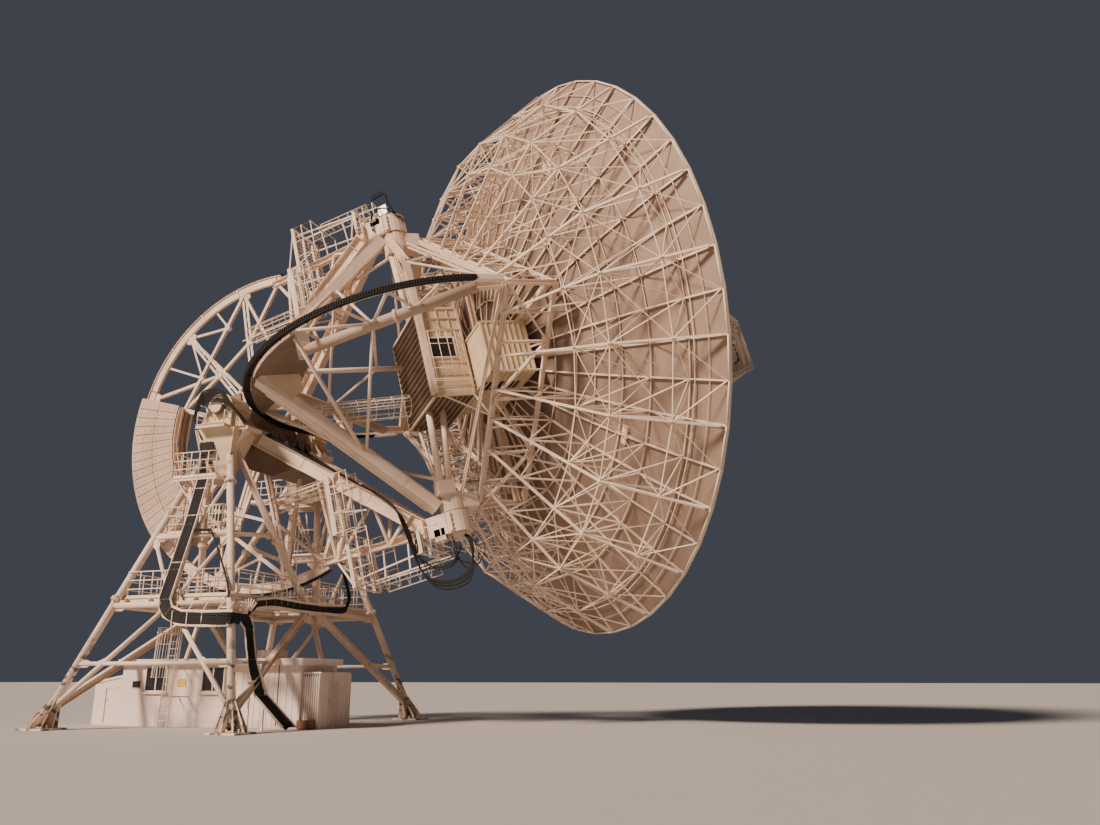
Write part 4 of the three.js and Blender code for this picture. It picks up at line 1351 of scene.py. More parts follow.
@dataclass
class FeedSupport:
    """The four lattice legs in front of the reflector, the square ring at their tip and the feed boxes."""

    foot_radius: float = 9
    bays: int = 15

    def leg(self, steel: Steelwork, degrees: float) -> None:
        """Adds one leg: three tubes with lacing.

        Args:
            steel: the mesh that gets it.
            degrees: its angle round the dish's axis.
        """
        side, out = polar(degrees + 90, 1), polar(degrees, 1)
        foot = polar(degrees, self.foot_radius, surface(self.foot_radius) + 0.02)
        head = polar(degrees, FEED_RING_R, FEED_RING_Z)
        chords = []
        for s, o in ((-0.5, 0), (0.5, 0), (0, 1)):
            chords.append((foot + side * 0.46 * s + out * 0.36 * o, head + side * 0.24 * s + out * 0.16 * o))
        for a, b in chords:
            steel.tube(a, b, 0.048, 10)
        for i, j in product(range(self.bays), range(3)):
            (a, b), (c, d) = chords[j], chords[(j + 1) % 3]
            first, second = i / self.bays, (i + 1) / self.bays
            steel.tube(lerp(a, b, first), lerp(c, d, second), 0.022, 6)
            steel.tube(lerp(a, b, second), lerp(c, d, second), 0.018, 6)
        steel.bar(foot - Z * 0.03, foot + Z * 0.03, 0.75, 0.6, out)

    def build(self) -> None:
        """Builds the support and dresses the boxes."""
        top = FEED_RING_Z
        steel = Steelwork("feed_support", DISH, PALE)
        for k in range(4):
            self.leg(steel, 45 + 90 * k)
        for (z, grow), k in product(((top, 0), (top - 0.55, 0.3)), range(4)):
            a, b = (polar(45 + 90 * (k + j), FEED_RING_R + grow, z) for j in (0, 1))
            steel.member(a, b, channel(0.1, 0.18), Z, 0.05)
            steel.bar(lerp(a, b, 0.5), (0, 0, z), 0.07, 0.07)
        for k in range(4):
            a = polar(45 + 90 * k, FEED_RING_R, top)
            b = polar(135 + 90 * k, FEED_RING_R + 0.3, top - 0.55)
            steel.tube(a, b, 0.03, 8)
        steel.use(YELLOWED)
        for k in range(4):
            a, b = (polar(45 + 90 * (k + j), 1.52, top + 0.05) for j in (0, 1))
            steel.plate([a * 0.45 + Z * 9.63, a, b, b * 0.45 + Z * 9.63], 0.03)
        steel.use(LOUVRE)
        steel.block((-0.5, -0.5, top), (0.5, 0.5, top + 0.06))
        steel.build(["feed_legs"])
        boxes = Steelwork("feed_fittings", DISH, FEED_PAINT)
        ReceiverRooms.edges(boxes, (-0.75, -0.75, 14.25), (0.75, 0.75, 15.95), 0.06)
        ReceiverRooms.edges(boxes, (-0.45, -0.45, 15.95), (0.45, 0.45, 17.35), 0.05)
        for radius, z0, z1 in ((0.62, 14, 14.25), (0.5, 13.8, 14.02), (0.34, 13.45, 13.82)):
            boxes.tube(*span(0, 0, (z0, z1)), radius, 32)
        for s in SIDES:
            boxes.bar(*span(s * 0.785, 0, (14.6, 15.6)), 0.9, 0.05, X)
            boxes.bar(*span(0, s * 0.785, (14.6, 15.6)), 0.9, 0.05, Y)
        boxes.use(LOUVRE)
        boxes.tube(*span(0, 0, (13.42, 13.46)), 0.27, 32)
        boxes.build(slot="feed_white")


# Frame on the lower axis.
@dataclass
class LowerGearWheel:
    """The large wheel of the lower axis with its web, tiles on the counterweights and the end ties."""

    nodes: tuple[float, ...] = (87.5, 59, 31)
    tile_rows: int = 17
    inner: float = 5.26
    middle: float = 6.46
    outer: float = 7.62

    @staticmethod
    def at(degrees: float, radius: float = 7.27, y: float = 0) -> Vector:
        """A point of the wheel by its angle from the side of the counterweights."""
        a = radians(degrees)
        return Vector((radius * sin(a), y, -radius * cos(a)))

    def rack(self) -> None:
        """Builds the teeth, the flanges and the stiffeners of the rim."""
        at = self.at
        steel = Steelwork("lower_gear_rack", X_FRAME, GEAR)
        plane, half = ((X, Z), X_WHEEL_HALF_ARC)
        count = 190
        for i in range(count + 1):
            d = -half + 2 * half * i / count
            steel.bar(at(d, 7.78), at(d, 7.84), 0.16, 0.08, at(d + 90, 1))
        steel.arc(plane, 7.775, -half, half, flat(0.2, 0.05))
        steel.use(CREAM)
        steel.arc(plane, 7.53, -half, half, flat(0.07, 0.44))
        steel.arc(plane, 7.725, -half, half, flat(0.18, 0.03))
        steel.arc(plane, 7.33, -half, half, flat(0.15, 0.03))
        for d, y in product(range(-102, 103, 17), (-0.07, 0.07)):
            steel.bar(at(d, 7.34, y), at(d, 7.73, y * 1.3), 0.018, 0.07, at(d, 1))
        for d, s in product(self.nodes, SIDES):
            steel.gusset(at(s * d, 7.15), at(s * d + 90, 1), at(s * d, 1), 0.62, 0.34, 0.09)
        steel.build(["x_wheel_rim"])

    def web(self) -> None:
        """Builds the lattice between rim and shaft and the ties from the rim's ends."""
        at = self.at
        steel = Steelwork("lower_wheel_web", X_FRAME)
        heavy, medium, light = wide_flange(0.2, 0.2), wide_flange(0.14, 0.15), angle(0.1)
        look = Y
        for s in SIDES:
            a, b, e = (at(s * d) for d in self.nodes)
            end = at(s * 103)
            hub_a, hub_b, hub_e = at(s * 52, 0.95), at(s * 40, 0.8), at(s * 16, 0.8)
            corner = at(s * 29, 5.22)
            on_a, on_b = lerp(a, hub_a, 0.4), lerp(b, hub_b, 0.46)
            steel.pair(a, hub_a, angle(0.12), 0.2, look)
            steel.pair(b, hub_b, angle(0.12), 0.2, look)
            steel.member(at(s * 29, 5.3), hub_e, heavy, look)
            runs = ((a, corner), (b, lerp(a, hub_a, 0.9)), (end, on_a), (on_a, on_b), (on_b, corner),
                    (e, on_b))
            for k, (p, q) in enumerate(runs):
                shift = Y * (0.012 * (k - 3))
                steel.member(p + shift, q + shift, medium, look)
            first, second = lerp(a, corner, 0.28), lerp(a, corner, 0.72)
            for p, q in ((b, first), (at(s * 73.7), first), (at(s * 44.5), second), (b, second)):
                steel.member(p + Y * 0.05, q + Y * 0.05, light, look)
            steel.member(a, (s * 2.4, 0, 1.3), medium, look)
            steel.member(end, (s * 4.3, 0, 3.2), medium, look)
            for p in (on_a, on_b, first, second):
                steel.gusset(p, X, Z, 0.3, 0.26, 0.2)
            tie_end, n1, n2 = (Vector((s * 7.4, 0, 6.94)), Vector((s * 7.3, 0, 2.3)),
                               Vector((s * 7.38, 0, 4.92)))
            steel.member(at(s * 101.5), tie_end, wide_flange(0.27, 0.3), X, 0.1)
            for y in SIDES:
                beams = [Vector((s * (0.7 + 6.75 * t), y * (1.86 - 1.45 * t), -0.15 + 7.19 * t))
                         for t in (0.4, 0.6, 0.7, 0.88)]
                for p, q in ((n1, beams[0]), (n1, beams[1]), (n2, beams[2]), (n2, beams[3])):
                    steel.bar(p, q, 0.12, 0.14, Y)
            for p in (n1, n2):
                steel.gusset(p - X * (s * 0.12), Z, X, 0.5, 0.4, 0.04)
        chord = [at(d, 5.2) for d in (-29.5, -10, 10, 29.5)]
        for (p, q), y in product(zip(chord, chord[1:]), (-0.33, 0.33)):
            steel.member(p + Y * y, q + Y * y, channel(0.12, 0.22), Z, 0.03)
        steel.build(["x_wheel_spokes", "x_wheel_tie_top", "x_wheel_tie_bottom"])

    def tiles(self) -> None:
        """Covers both counterweights with bolted plates in two columns, with dark joints."""
        at = self.at
        steel = Steelwork("counterweight_tiles", X_FRAME, WEIGHT_PAINT)
        rng = random.Random(7)
        step = 59.2 / self.tile_rows
        for y in SIDES:
            face = y * 0.431
            steel.use(BROWN)
            backing = [at(d, self.outer, face) for d in range(-29, 30, 2)]
            backing += [at(d, self.inner, face) for d in range(29, -30, -2)]
            steel.plate(backing, 0.02)
            steel.use(WEIGHT_PAINT)
            for column, row in product(((self.inner, self.middle), (self.middle, self.outer)),
                                       range(self.tile_rows)):
                lift = y * (0.445 + 0.012 * rng.random())
                d0, d1 = -29.6 + step * row + 0.13, -29.6 + step * (row + 1) - 0.13
                r0, r1 = column[0] + 0.014, column[1] - 0.014
                steel.plate([at(d0, r0, lift), at(d0, r1, lift), at(d1, r1, lift), at(d1, r0, lift)], 0.05)
                for r in (r0 + 0.16, (r0 + r1) / 2, r1 - 0.16):
                    p = at((d0 + d1) / 2, r, lift)
                    steel.tube(p, p + Y * (y * 0.05), 0.028, 6)
            for d in (-29.7, 29.7):
                steel.member(at(d, self.inner, face), at(d, self.outer, face), angle(0.1), Y)
        steel.build(slot="counterweight_plate")

    def build(self) -> None:
        """Builds all parts of the wheel."""
        self.rack()
        self.web()
        self.tiles()


@dataclass
class YokeBeams:
    """The four long I beams from the lower shaft to the bearings of the upper axis."""

    section: Profile = wide_flange(0.38, 0.62, 0.034, 0.022)
    splice_shares: tuple[float, ...] = (0.3, 0.66)

    @staticmethod
    def line(sx: int, sy: int) -> tuple[Vector, Vector]:
        """Both ends of one beam."""
        return Vector((sx * 0.7, sy * 1.95, -0.15)), Vector((sx * 7.45, sy * 0.42, 7.04))

    def beam(self, steel: Steelwork, sx: int, sy: int) -> None:
        """Adds one beam with stiffeners, end plates and splices.

        Args:
            steel: the mesh that gets it.
            sx: its side of the upper axis.
            sy: its end of the lower axis.
        """
        a, b = self.line(sx, sy)
        along = (b - a).normalized()
        side = along.cross(X).normalized()
        top = side.cross(along)
        steel.member(a, b, self.section, X)
        for share in (0.1, 0.5, 0.9):
            c = lerp(a, b, share)
            for s in SIDES:
                p = c + side * s * 0.085
                steel.bar(p - top * 0.28, p + top * 0.28, 0.14, 0.014, along)
        for share in self.splice_shares:
            c = lerp(a, b, share)
            for s in SIDES:
                steel.bar(c - along * 0.32 + side * s * 0.02, c + along * 0.32 + side * s * 0.02, 0.02,
                          0.46, top)
                steel.bar(c - along * 0.36 + top * s * 0.318, c + along * 0.36 + top * s * 0.318, 0.36,
                          0.02, top)
                for x, y in product((-0.27, -0.16, -0.06, 0.06, 0.16, 0.27), (-0.12, 0.12)):
                    p = c + along * x + side * y + top * s * 0.33
                    steel.tube(p, p + top * s * 0.03, 0.018, 6)
        steel.bar(b - along * 0.45, b - along * 0.05, 0.42, 0.66, X)
        steel.bar(a, a + along * 0.5, 0.42, 0.66, X)

    def build(self) -> None:
        """Builds the beams and the lattice between each pair."""
        steel = Steelwork("yoke_beams", X_FRAME)
        for sx in SIDES:
            for sy in SIDES:
                self.beam(steel, sx, sy)
            near, far = self.line(sx, -1), self.line(sx, 1)
            shares = (0.16, 0.3, 0.44, 0.58, 0.72, 0.86)
            for i, t in enumerate(shares):
                steel.bar(lerp(*near, t), lerp(*far, t), 0.1, 0.12, X)
                if i:
                    steel.member(lerp(*near, shares[i - 1]), lerp(*far, t), angle(0.09), X)
        steel.build([f"yoke_beam_{e}_{s}" for e in ("top", "bottom") for s in ("near", "far")])
        self.bearings()
        self.drives()

    def drives(self) -> None:
        """Adds the sheet housing under the lower beams, in the painted shade colour of the dark space there,
        and the drives beside the shaft.
        """
        steel = Steelwork("drive_housing", X_FRAME, SHADED_SHEET)
        outline = ((0.55, -0.38), (3.05, 2), (2.95, 0.6), (2.2, -0.6), (0.9, -1.25))
        for y in (-1.45, 1.45):
            steel.plate([(v, y, u) for v, u in outline], 0.03)
        for (v0, u0), (v1, u1) in zip(outline[1:], outline[2:]):
            steel.plate([(v0, -1.45, u0), (v0, 1.45, u0), (v1, 1.45, u1), (v1, -1.45, u1)], 0.02)
        steel.use(LOUVRE)
        for y in (-1.3, -0.72, 0.72, 1.3):
            steel.block((0.82, y - 0.26, -0.15), (1.42, y + 0.26, 0.3))
            steel.tube(*span(1.12, y, (0.3, 1)), 0.21, 18)
            steel.tube(*span(1.12, y, (0.94, 1.04)), 0.235, 18)
        steel.block((1.45, -1.3, 0.3), (1.85, 1.3, 0.55))
        for y in (-0.95, -0.25, 0.45, 1.15):
            steel.tube(*span(1.66, y, (0.55, 1.22)), 0.15, 18)
        steel.build(slot="gear_dark")

    def bearings(self) -> None:
        """Dresses the bearings of both axes on this frame."""
        u = AXIS_OFFSET
        steel = Steelwork("bearing_fittings", X_FRAME)
        for s in SIDES:
            for x in (6.94, 7.88):
                steel.bolts((s * x, 0, u), X, 0.52, 16, 0.07, 0.06)
                steel.tube(*span((s * x, s * (x + (0.04 if x > 7 else -0.04))), 0, u), 0.44, 32)
            for y in (-0.66, 0.66):
                steel.bar(*span((s * 7, s * 7.82), y, u), 0.14, 0.16)
                for i in range(4):
                    p = Vector((s * (7.1 + 0.2 * i), y, u))
                    steel.tube(p - Z * 0.13, p + Z * 0.13, 0.032, 6)
            for y in (-0.45, 0, 0.45):
                steel.bar(*span(s * 7.4, y, (6.98, 7.95)), 0.8, 0.03, Y)
            steel.tube(*span((s * 7.9, s * 8.12), 0, u), 0.24, 28)
            steel.block((s * 7.55, -0.62, 7.35), (s * 8.05, -0.32, 7.85))
        for s in SIDES:
            steel.bolts((0, s * 2.33, 0), Y, 0.37, 14, 0.05, 0.05)
            steel.tube(*span(0, (s * 3.9, s * 3.96), 0), 0.3, 28)
            steel.bolts((0, s * 3.93, 0), Y, 0.24, 10, 0.045, 0.1)
        steel.build()


@dataclass
class AccessWays:
    """Decks, ladders and the caged walkway that reach both bearings of the upper axis."""

    half_width: float = 1.1
    rail: float = 1.07

    def deck(self, steel: Steelwork, s: int, near: float, far: float, floor: float) -> None:
        """Adds a deck with a railing on three sides.

        Args:
            steel: the mesh that gets it.
            s: the side of the axis.
            near: where it starts down the axis.
            far: where it ends.
            floor: its height.
        """
        y = self.half_width
        steel.grating((s * near, -s * y, floor), (s * (far - near), 0, 0), (0, 2 * s * y, 0), 0.2)
        for beam in (-0.8, 0, 0.8):
            steel.member(*span((s * near, s * far), beam, floor - 0.09), channel(0.06, 0.12))
        route = [(s * near, -y, floor), (s * far, -y, floor), (s * far, y, floor), (s * near, y, floor)]
        steel.railing(route, self.rail, 2, 1.15, 0.1)

    def side(self, s: int) -> None:
        """Adds the ways to one bearing.

        Args:
            s: the side of the upper axis.
        """
        name, low, high = "top" if s < 0 else "bottom", LOW_DECK, BEARING_DECK
        steel = Steelwork(f"access_ways_{name}", X_FRAME, PALE)
        self.deck(steel, s, 7.45, 8.44, high)
        self.deck(steel, s, 6.51, 8.95, low)
        for y in (-0.9, 0.9):
            steel.member((s * 8.7, y, low - 0.1), (s * 7.4, 0, 2.35), angle(0.08), Y)
            steel.member((s * 7.5, y, low - 0.1), (s * 7.4, 0, 3), angle(0.08), Y)
            steel.member((s * 8.35, y, high - 0.1), (s * 7.45, y * 0.5, 6.2), angle(0.08), Y)
            steel.member((s * 8.6, y, low), (s * 8.35, y, high), angle(0.06), Y)
        for z in (4.6, 5.8):
            steel.member((s * 8.73, -0.26, z), (s * 7.45, 0, z), angle(0.06), Y)
        steel.ladder((s * 8.73, 0, low), (s * 8.73, 0, high + 0.9), Y, 0.48, 0.28)
        for x in (8.98, 9.3):
            steel.tube(*span(s * x, 0, (low + 1, high + 0.3)), 0.024, 6)
        for i in range(6):
            z = low + 1 + 0.52 * i
            steel.bar((s * 8.73, -0.26, z), (s * 9.3, 0, z), 0.03, 0.012)
            steel.bar((s * 8.73, 0.26, z), (s * 9.3, 0, z), 0.03, 0.012)
        y0, y1, start, floor = -1.55, -0.75, 3.95, 3.3
        steel.grating((s * start, -s * 0.4 - 1.15, floor), (s * (6.6 - start), 0, 0), (0, 0.8 * s, 0), 0.12)
        for y in (y0, y1):
            steel.railing([(s * start, y, floor), (s * 6.55, y, floor)], 1, 3, 0.9)
            steel.member(*span((s * start, s * 6.6), y, floor - 0.08), channel(0.06, 0.12))
        for x in (4.4, 5.6):
            steel.member((s * x, y0, floor - 0.1), (s * (x + 0.2), -0.95, floor + 1.35), angle(0.07), Y)
        steel.ladder((s * 4.05, -1.15, 0.1), (s * 4.05, -1.15, floor), Y, 0.46, 0.28, (s, 0, 0), 0.4)
        steel.build([f"access_deck_{name}"])

    def build(self) -> None:
        """Builds both sides."""
        for s in SIDES:
            self.side(s)


# Tower.
def on_leg(sx: int, sy: int, z: float) -> Vector:
    """The middle of a leg at a height.

    Args:
        sx: the side along X.
        sy: the side along Y.
        z: the height.

    Returns:
        The point.
    """
    foot = Vector((sx * FOOT_X, sy * FOOT_Y, FOOT_Z))
    head = Vector((sx * LEG_TOP[0], sy * LEG_TOP[1], LEG_TOP[2]))
    return foot.lerp(head, (z - FOOT_Z) / (LEG_TOP[2] - FOOT_Z))


@dataclass
class TowerLegs:
    """The four tubular legs with finned feet, anchor bolts and bolted flanges."""

    flange_heights: tuple[float, ...] = (5, 9.9)
    plate: float = 1.25

    def leg(self, end: str, side: str) -> None:
        """Builds one leg.

        Args:
            end: near or far.
            side: left or right.
        """
        sx, sy = (1 if side == "right" else -1), (1 if end == "far" else -1)
        steel = Steelwork(f"leg_steel_{end}_{side}", GROUND, LEG_PAINT)
        foot = on_leg(sx, sy, FOOT_Z)
        along = (on_leg(sx, sy, LEG_TOP[2]) - foot).normalized()
        steel.tube(foot - along * 0.12, on_leg(sx, sy, LEG_TOP[2]), LEG_RADIUS, 30)
        half = self.plate / 2
        steel.block((foot.x - half, foot.y - half, 0), (foot.x + half, foot.y + half, 0.07))
        steel.tube(*span(foot.x, foot.y, (0.07, 0.13)), 0.42, 30)
        for k in range(8):
            a = pi * k / 4
            out = Vector((cos(a), sin(a), 0))
            high = foot + along * 0.95
            base = Vector((foot.x, foot.y, 0.07))
            steel.plate([base + out * 0.1, base + out * 0.56, base + out * 0.56 + Z * 0.12,
                         high + out * 0.185, high + out * 0.1], 0.028)
            steel.bolts(base + out * 0.5 + Vector((-out.y, out.x, 0)) * 0.2 + Z * 0.06, Z, 0, 1, 0.07, 0.12)
        for z in self.flange_heights:
            c = on_leg(sx, sy, z)
            steel.joint(c, along, 0.25)
            for k in range(6):
                a = pi * k / 3
                e = along.orthogonal().normalized()
                out = e * cos(a) + along.cross(e) * sin(a)
                for s in SIDES:
                    steel.plate([c + along * s * 0.05 + out * 0.14, c + along * s * 0.05 + out * 0.24,
                                 c + along * s * 0.2 + out * 0.14], 0.016)
        steel.build([f"leg_{end}_{side}"])

    def build(self) -> None:
        """Builds all four legs."""
        for end, side in product(("near", "far"), ("left", "right")):
            self.leg(end, side)


@dataclass
class TowerBracing:
    """Struts and braces on the four faces of the tower, with their joint plates."""

    node_x: float = 2.9

    @staticmethod
    def tie(steel: Steelwork, a: Point, b: Point, radius: float) -> None:
        """Adds a tube with a flattened joint plate at each end.

        Args:
            steel: the mesh that gets it.
            a: one end.
            b: the other end.
            radius: of the tube.
        """
        a, b = Vector(a), Vector(b)
        steel.tube(a, b, radius, 18)
        along = (b - a).normalized()
        across = Z if abs(along.z) < 0.8 else X
        for p, s in ((a, 1), (b, -1)):
            steel.gusset(p + along * s * 0.32, along, across, 0.6, radius * 3.6, 0.024)

    def end(self, name: str, sy: int) -> None:
        """Builds the bracing between the two legs of one end.

        Args:
            name: near or far.
            sy: the side along Y.
        """
        steel = Steelwork(f"end_bracing_steel_{name}", GROUND)
        mid = {z: (on_leg(-1, sy, z) + on_leg(1, sy, z)) / 2 for z in (LOW_RING, MID_RING, HIGH_RING)}
        for z, radius in ((MID_RING, 0.12), (HIGH_RING, 0.095), (LOW_RING, 0.08)):
            self.tie(steel, on_leg(-1, sy, z), on_leg(1, sy, z), radius)
        for sx in SIDES:
            self.tie(steel, mid[MID_RING], on_leg(sx, sy, 0.7), 0.095)
            self.tie(steel, mid[MID_RING], on_leg(sx, sy, HIGH_RING), 0.08)
            self.tie(steel, mid[HIGH_RING], on_leg(sx, sy, 10.1), 0.075)
            quarter = lerp(mid[MID_RING], on_leg(sx, sy, 0.7), 0.5)
            steel.tube(quarter, lerp(mid[LOW_RING], on_leg(sx, sy, LOW_RING), 0.75), 0.05, 12)
        steel.tube(mid[MID_RING], mid[HIGH_RING], 0.07, 14)
        for z in (MID_RING, HIGH_RING):
            steel.gusset(mid[z], X, Z, 1.1, 0.8, 0.035)
        steel.build([f"end_bracing_{name}"])

    def side(self, name: str, sx: int) -> None:
        """Builds the bracing of one long face.

        Args:
            name: left or right.
            sx: the side along X.
        """
        steel = Steelwork(f"side_bracing_steel_{name}", GROUND)
        x = sx * self.node_x
        node = Vector((x, 0, MID_RING))
        steel.block((x - 0.21, -0.45, MID_RING - 0.21), (x + 0.21, 0.45, MID_RING + 0.21))
        steel.gusset(node, Y, (sx * -0.34, 0, 0.94), 2, 1.2, 0.05)
        self.tie(steel, node, (sx * FOOT_X, 0, 0.12), 0.11)
        steel.block((sx * FOOT_X - 0.35, -0.35, 0), (sx * FOOT_X + 0.35, 0.35, 0.06))
        steel.block((sx * FOOT_X - 0.22, -0.22, 0.06), (sx * FOOT_X + 0.22, 0.22, 0.12))
        for sy in SIDES:
            inner, head = (x, sy * 0.3, MID_RING), (sx * 0.64, sy * 3.25, 11.65)
            self.tie(steel, inner, head, 0.15)
            foot = on_leg(sx, sy, 0.7)
            steel.member(inner, foot, wide_flange(0.24, 0.26, 0.022, 0.018))
            quarter = lerp(inner, foot, 0.55)
            steel.tube(quarter, on_leg(sx, sy, LOW_RING), 0.07, 14)
            self.tie(steel, node, on_leg(sx, sy, MID_RING), 0.12)
            self.tie(steel, (sx * 1.75, sy * 1.52, 7.9), on_leg(sx, sy, HIGH_RING), 0.09)
            steel.joint(lerp(inner, head, 0.42), (sx * -2.26, sy * 2.95, 6.9), 0.22)
        steel.build([f"side_bracing_{name}"])

    def build(self) -> None:
        """Builds all four faces."""
        for name, s in (("near", -1), ("far", 1)):
            self.end(name, s)
        for name, s in (("left", -1), ("right", 1)):
            self.side(name, s)


@dataclass
class TowerPlatforms:
    """Walkways at the ring level, platforms and a caged door near each main bearing."""

    ring_floor: float = 5.06
    middle_floor: float = 10.15
    door_floor: float = 7.72

    def ring(self) -> None:
        """Builds the ring walkways and the service deck."""
        steel = Steelwork("ring_walkways", GROUND, PALE)
        z = self.ring_floor
        for sy in SIDES:
            steel.grating((-2.45 * sy, 5.25 * sy, z), (4.9 * sy, 0, 0), (0, -sy * 1.3, 0), 0.12)
            for x in (-2.3, -1.1, 0, 1.1, 2.3):
                steel.member(*span(x, (sy * 5.45, sy * 3.3), z - 0.15), channel(0.07, 0.16))
            for y in (5.25, 3.95):
                steel.member(*span((-2.55, 2.55), sy * y, z - 0.1), channel(0.07, 0.18))
            steel.railing([(-2.45, sy * 5.22, z), (2.45, sy * 5.22, z)], 1.05, 3, 0.62)
            steel.railing([(-1.5, sy * 3.98, z), (1.5, sy * 3.98, z)], 1.05, 3, 0.5)
            # Painted shade: a plate in the dark shade colour under the grating.
            steel.use(SHADED_SHEET)
            steel.block((-2.45, sy * 3.98, z - 0.05), (2.45, sy * 5.22, z - 0.03))
            steel.use(PALE)
        for sx in SIDES:
            steel.grating((sx * 1.95, -sx * 4.9, z), (0, sx * 9.8, 0), (sx * 0.75, 0, 0), 0.14)
            # Painted shade: a plate in the dark shade colour under the grating.
            steel.use(SHADED_SHEET)
            steel.block((sx * 1.97, -4.9, z - 0.05), (sx * 2.68, 4.9, z - 0.03))
            steel.use(PALE)
            for x in (1.95, 2.7):
                steel.member(*span(sx * x, (-5, 5), z - 0.1), channel(0.07, 0.16))
            for sy in SIDES:
                steel.railing([(sx * 2.7, sy * 4.9, z), (sx * 2.7, sy * 0.8, z)], 1.02, 3, 0.82)
                steel.railing([(sx * 1.95, sy * 3.9, z), (sx * 1.95, sy * 0.8, z)], 1.02, 2, 1)
                for y in (0.9, 2.4, 3.9):
                    steel.member((sx * 1.95, sy * y, z - 0.15), (sx * 2.86, sy * y, z - 0.2),
                                 channel(0.06, 0.12))
        steel.build(["service_deck"])

    def bearing(self, name: str, sy: int) -> None:
        """Builds the decks, brackets and machinery round one main bearing.

        Args:
            name: near or far.
            sy: the side along Y.
        """
        steel = Steelwork(f"bearing_decks_{name}", GROUND, PALE)
        z, near, far = self.middle_floor, sy * 4.25, sy * 3.05
        end = -1.62
        steel.grating((end, near, z), (0.62 - end, 0, 0), (0, far - near, 0), 0.1)
        for y in (near, far):
            steel.member(*span((end, 0.62), y, z - 0.07), channel(0.06, 0.14))
        steel.railing([(0.58, near, z), (end, near, z), (end, far, z)], 1.08, 3, 0.55)
        for x in (-1.4, -0.6, 0.5):
            steel.member((x, near, z - 0.1), (x * 0.35 + 0.1, sy * 3.9, z - 1.5), angle(0.07), Y)
        if sy > 0:
            steel.grating((-2.3, 2.4, z), (4.5, 0, 0), (0, -0.65, 0), 0.14)
            steel.railing([(-2.3, 2.4, z), (-2.3, 1.75, z), (2.2, 1.75, z), (2.2, 2.4, z)], 1, 3, 0.75)
            for x in (-0.55, 0.55):
                steel.member(*span(x, (1.8, 3.1), z - 0.08), channel(0.08, 0.14))
        deck = AXIS_HEIGHT - 0.95
        for x in (-1.15, -0.55, 0.55, 1.15):
            steel.bar((x, sy * 3.38, deck - 0.07), (x * 0.55, sy * 3.32, deck - 1.05), 0.06, 0.09, Y)
            steel.plate([(x, sy * 2.9, deck - 0.07), (x, sy * 3.4, deck - 0.07),
                         (x * 0.8, sy * 3.3, deck - 0.55)], 0.02)
        steel.member(*span((-1.32, 1.32), sy * 3.42, deck), channel(0.05, 0.17))
        steel.member(*span((-0.74, 0.74), sy * 4.21, deck), channel(0.05, 0.17))
        for sx in SIDES:
            steel.member(*span(sx * 1.32, (sy * 2.4, sy * 3.42), deck), channel(0.05, 0.17))
            steel.railing([(sx * 0.7, sy * 4.18, deck + 0.07), (sx * 0.7, sy * 3.75, deck + 0.07)], 0.55,
                          2, 0.6, 0)
        floor = self.door_floor
        steel.grating((-1.35, sy * 4.55, floor), (2.7, 0, 0), (0, -sy * 1.25, 0), 0.12)
        steel.railing([(0.7, sy * 4.55, floor), (1.35, sy * 4.55, floor), (1.35, sy * 3.3, floor)], 1.1,
                      3, 0.2)
        steel.railing([(-1.35, sy * 3.3, floor), (-1.35, sy * 4.55, floor), (-0.5, sy * 4.55, floor)],
                      1.1, 3, 0.45)
        frame_y = sy * 3.62
        for x in (-0.5, 0.62):
            steel.bar(*span(x, frame_y, (floor, floor + 1.25)), 0.07, 0.07, Y)
        for h in (0.03, 1.25):
            steel.bar(*span((-0.5, 0.62), frame_y, floor + h), 0.07, 0.07, Y)
        steel.use(LOUVRE)
        for i in range(1, 12):
            x = -0.5 + 1.12 * i / 12
            steel.bar(*span(x, frame_y, (floor, floor + 1.25)), 0.012, 0.012, Y)
        for i in range(1, 13):
            h = floor + 1.25 * i / 13
            steel.bar(*span((-0.5, 0.62), frame_y, h), 0.012, 0.012, Y)
        steel.use(CREAM)
        steel.ladder((-1.05, sy * 4.1, self.ring_floor), (-1.05, sy * 4.1, floor), X, 0.42, 0.28)
        steel.ladder((-1.02, sy * 3.8, floor), (-1.02, sy * 3.8, z + 0.9), X, 0.42, 0.28)
        steel.use(LOUVRE)
        for x, y, h, r in ((-0.62, 3.35, 10.9, 0.26), (-0.7, 3.5, 11.5, 0.2), (-0.25, 3.45, 11.25, 0.16)):
            steel.tube(*span(x, sy * y, (h - 0.35, h + 0.35)), r, 18)
            steel.tube(*span(x, sy * y, (h - 0.42, h - 0.34)), r * 1.25, 18)
        steel.build()
        self.pedestal(name, sy)

